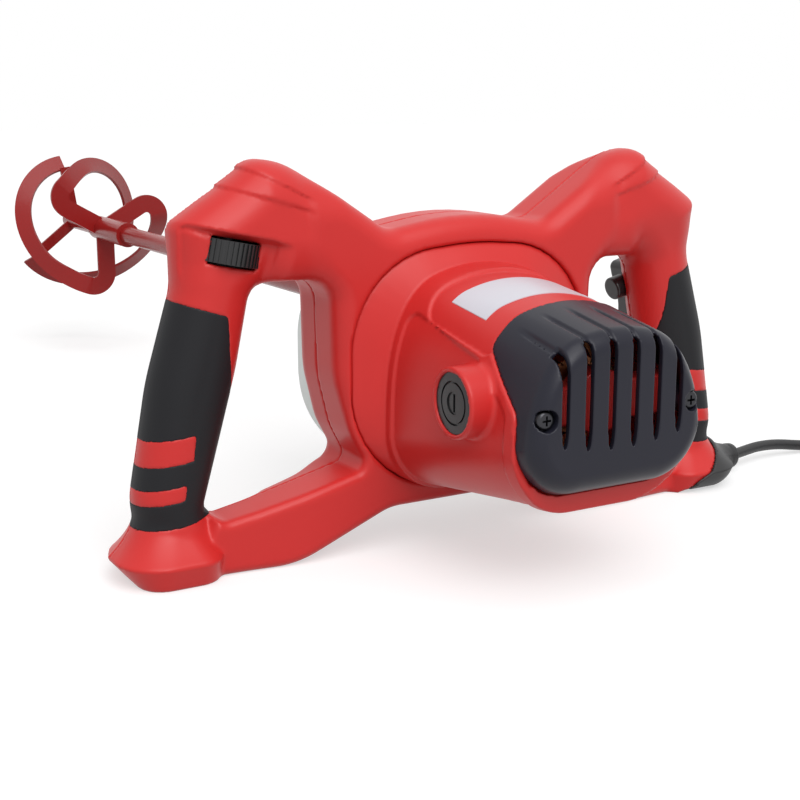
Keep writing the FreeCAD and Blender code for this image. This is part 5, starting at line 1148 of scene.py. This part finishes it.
def boot_field(x, y, z):
    """Outer end of the right foot, drawn out to a neck with a collar round the cord."""
    axis = unit(np.array(CORD_OUT) - np.array(BOOT_IN))
    along = (x - BOOT_IN[0]) * axis[0] + (y - BOOT_IN[1]) * axis[1] + (z - BOOT_IN[2]) * axis[2]
    gaps = [p - BOOT_IN[k] - along * axis[k] for k, p in enumerate((x, y, z))]
    off = np.sqrt(sum(gap ** 2 for gap in gaps))
    taper = (BOOT_R - BOOT_NECK_R) * np.clip(along / BOOT_LENGTH, 0.0, 1.0)
    bulb = both(off - BOOT_R + taper, np.maximum(along - BOOT_LENGTH, -along), BOOT_EDGE_R)
    collar_half = BOOT_COLLAR_L / 2
    collar_ends = np.abs(along - BOOT_LENGTH + collar_half) - collar_half
    collar = both(off - BOOT_COLLAR_R, collar_ends, BOOT_COLLAR_EDGE_R)
    base = both(foot_field(x, y, z) - BOOT_SWELL, boot_zone(x, z) - BOOT_LAP, BOOT_EDGE_R)
    base = both(base, -z, BOOT_SOLE_R)
    boot = np.minimum(joined(base, bulb, BOOT_BLEND), collar)
    kept_shell = np.maximum(frame_field(x, y, z), -boot_zone(x, z))
    boot = np.maximum(np.maximum(boot, BOOT_GAP - kept_shell), -z)
    from_cord = segment_distance(x, y, z, CORD_START, CORD_OUT)
    return np.maximum(boot, CORD_R + BOOT_CORD_GAP - from_cord)


boot_rubber = moulded("boot_rubber", (0.012, 0.012, 0.013), spread=0.25, grain_scale=1300.0,
                      roughness=0.48, rough_spread=0.12, depth=0.00004)
boot = skin("boot", boot_field, *BOOT_BOX, BOOT_PITCH)
finish_piece(boot, boot_rubber, "cord_rubber", "cable_boot")
plug = merged_copy("plug_body", "plug", boot_rubber)
pin_plate = metal("pin_plate", (0.72, 0.68, 0.58), roughness=0.28, marks=1500.0,
                  stretch=(4.0, 0.3, 0.3), depth=0.00001)
pins = merged_copy("plug_pins", "pins", pin_plate)
strap_weave = moulded("strap_weave", (0.035, 0.035, 0.036), spread=0.4, grain_scale=2600.0,
                      roughness=0.85, rough_spread=0.1, depth=0.0002, specular=0.3)
tie = merged_copy("coil_tie", "tie", strap_weave)

# Motor: stacked sheet core with its two field coils, and the armature that turns inside
# it with winding, copper commutator, plastic fan and steel shaft. Springs press carbon
# brushes in brass holders on the commutator.
bare_steel = metal("bare_steel", (0.50, 0.50, 0.51), roughness=0.36, marks=700.0,
                   stretch=(0.2, 6.0, 0.2), depth=0.000006)
sheet_steel = metal("sheet_steel", (0.30, 0.30, 0.31), roughness=0.45, marks=900.0,
                    stretch=(0.1, 5.0, 0.1), depth=0.00010)
copper_wire = metal("copper_wire", (0.62, 0.26, 0.12), roughness=0.35, marks=800.0,
                    stretch=(5.0, 0.2, 5.0), depth=0.00015)
brass_plain = metal("brass_plain", (0.66, 0.50, 0.24), roughness=0.32, marks=700.0,
                    stretch=(3.0, 0.4, 0.4), depth=0.00002)
carbon_block = moulded("carbon_block", (0.025, 0.025, 0.026), spread=0.3, grain_scale=1200.0,
                       roughness=0.6, rough_spread=0.2, depth=0.00005)


def dress(material, *nodes):
    """Puts a finish on solids whose shape is shown as it is."""
    for node in nodes:
        mesh = frame["nodes"][node].data
        mesh.materials.clear()
        mesh.materials.append(material)


dress(sheet_steel, "stator_core", "armature_core")
dress(copper_wire, "field_coils", "armature_winding", "commutator")
dress(brass_plain, "brush_holders")
dress(carbon_block, "carbon_brushes")
dress(bare_steel, "brush_springs", "rear_motor_bearing", "front_motor_bearing", "armature_shaft",
      "motor_pinion")
dress(black_part, "cooling_fan")

# Electrics in the handles: trigger switch, speed module, suppressor and cord clamp are plastic
# pieces held inside the half shells, and the screws that close the shells are plain steel.
grey_part = moulded("grey_part", (0.07, 0.07, 0.08), spread=0.2, grain_scale=1500.0,
                    roughness=0.5, rough_spread=0.1, depth=0.00003)
dress(grey_part, "trigger_switch", "speed_module", "suppressor")
dress(black_part, "cord_clamp")
dress(bare_steel, "handle_screws", "cord_clamp_screws")

# Gear case: bare aluminium casting bolted to the motor housing through the gear plate, with two
# stages of steel gears inside and the spindle in its neck, on two bearings behind a seal.
cast_skin = metal("cast_skin", (0.52, 0.54, 0.53), roughness=0.42, marks=260.0,
                  stretch=(1.0, 1.0, 1.0), depth=0.00022)
dress(cast_skin, "gear_plate")
dress(bare_steel, "countershaft", "first_gear", "output_gear", "output_gear_key", "gear_circlip",
      "spindle_bearings")
dress(brass_plain, "countershaft_bushes")
dress(grey_part, "spindle_seal")
merged_copy("gear_case", "gear_case_casting", cast_skin)
merged_copy("gear_case_screws", "case_screws", bare_steel)
merged_copy("spindle", "spindle_steel", bare_steel)

# Mixing paddle: steel rod, hub, arms and helical ribbons welded together and painted red. It
# screws on the spindle by a bare hexagon nut at the rod's end.
paddle_paint = moulded("paddle_paint", (0.30, 0.011, 0.010), spread=0.12, grain_scale=120.0,
                       roughness=0.24, rough_spread=0.08, depth=0.00010, specular=0.3)
merged_copy("paddle_nut", "rod_nut", bare_steel)
for node, name in (
    ("paddle_rod", "rod"),
    ("paddle_hub", "hub"),
    ("paddle_blades", "ribbons"),
    ("paddle_arms", "arms"),
):
    merged_copy(node, name, paddle_paint)
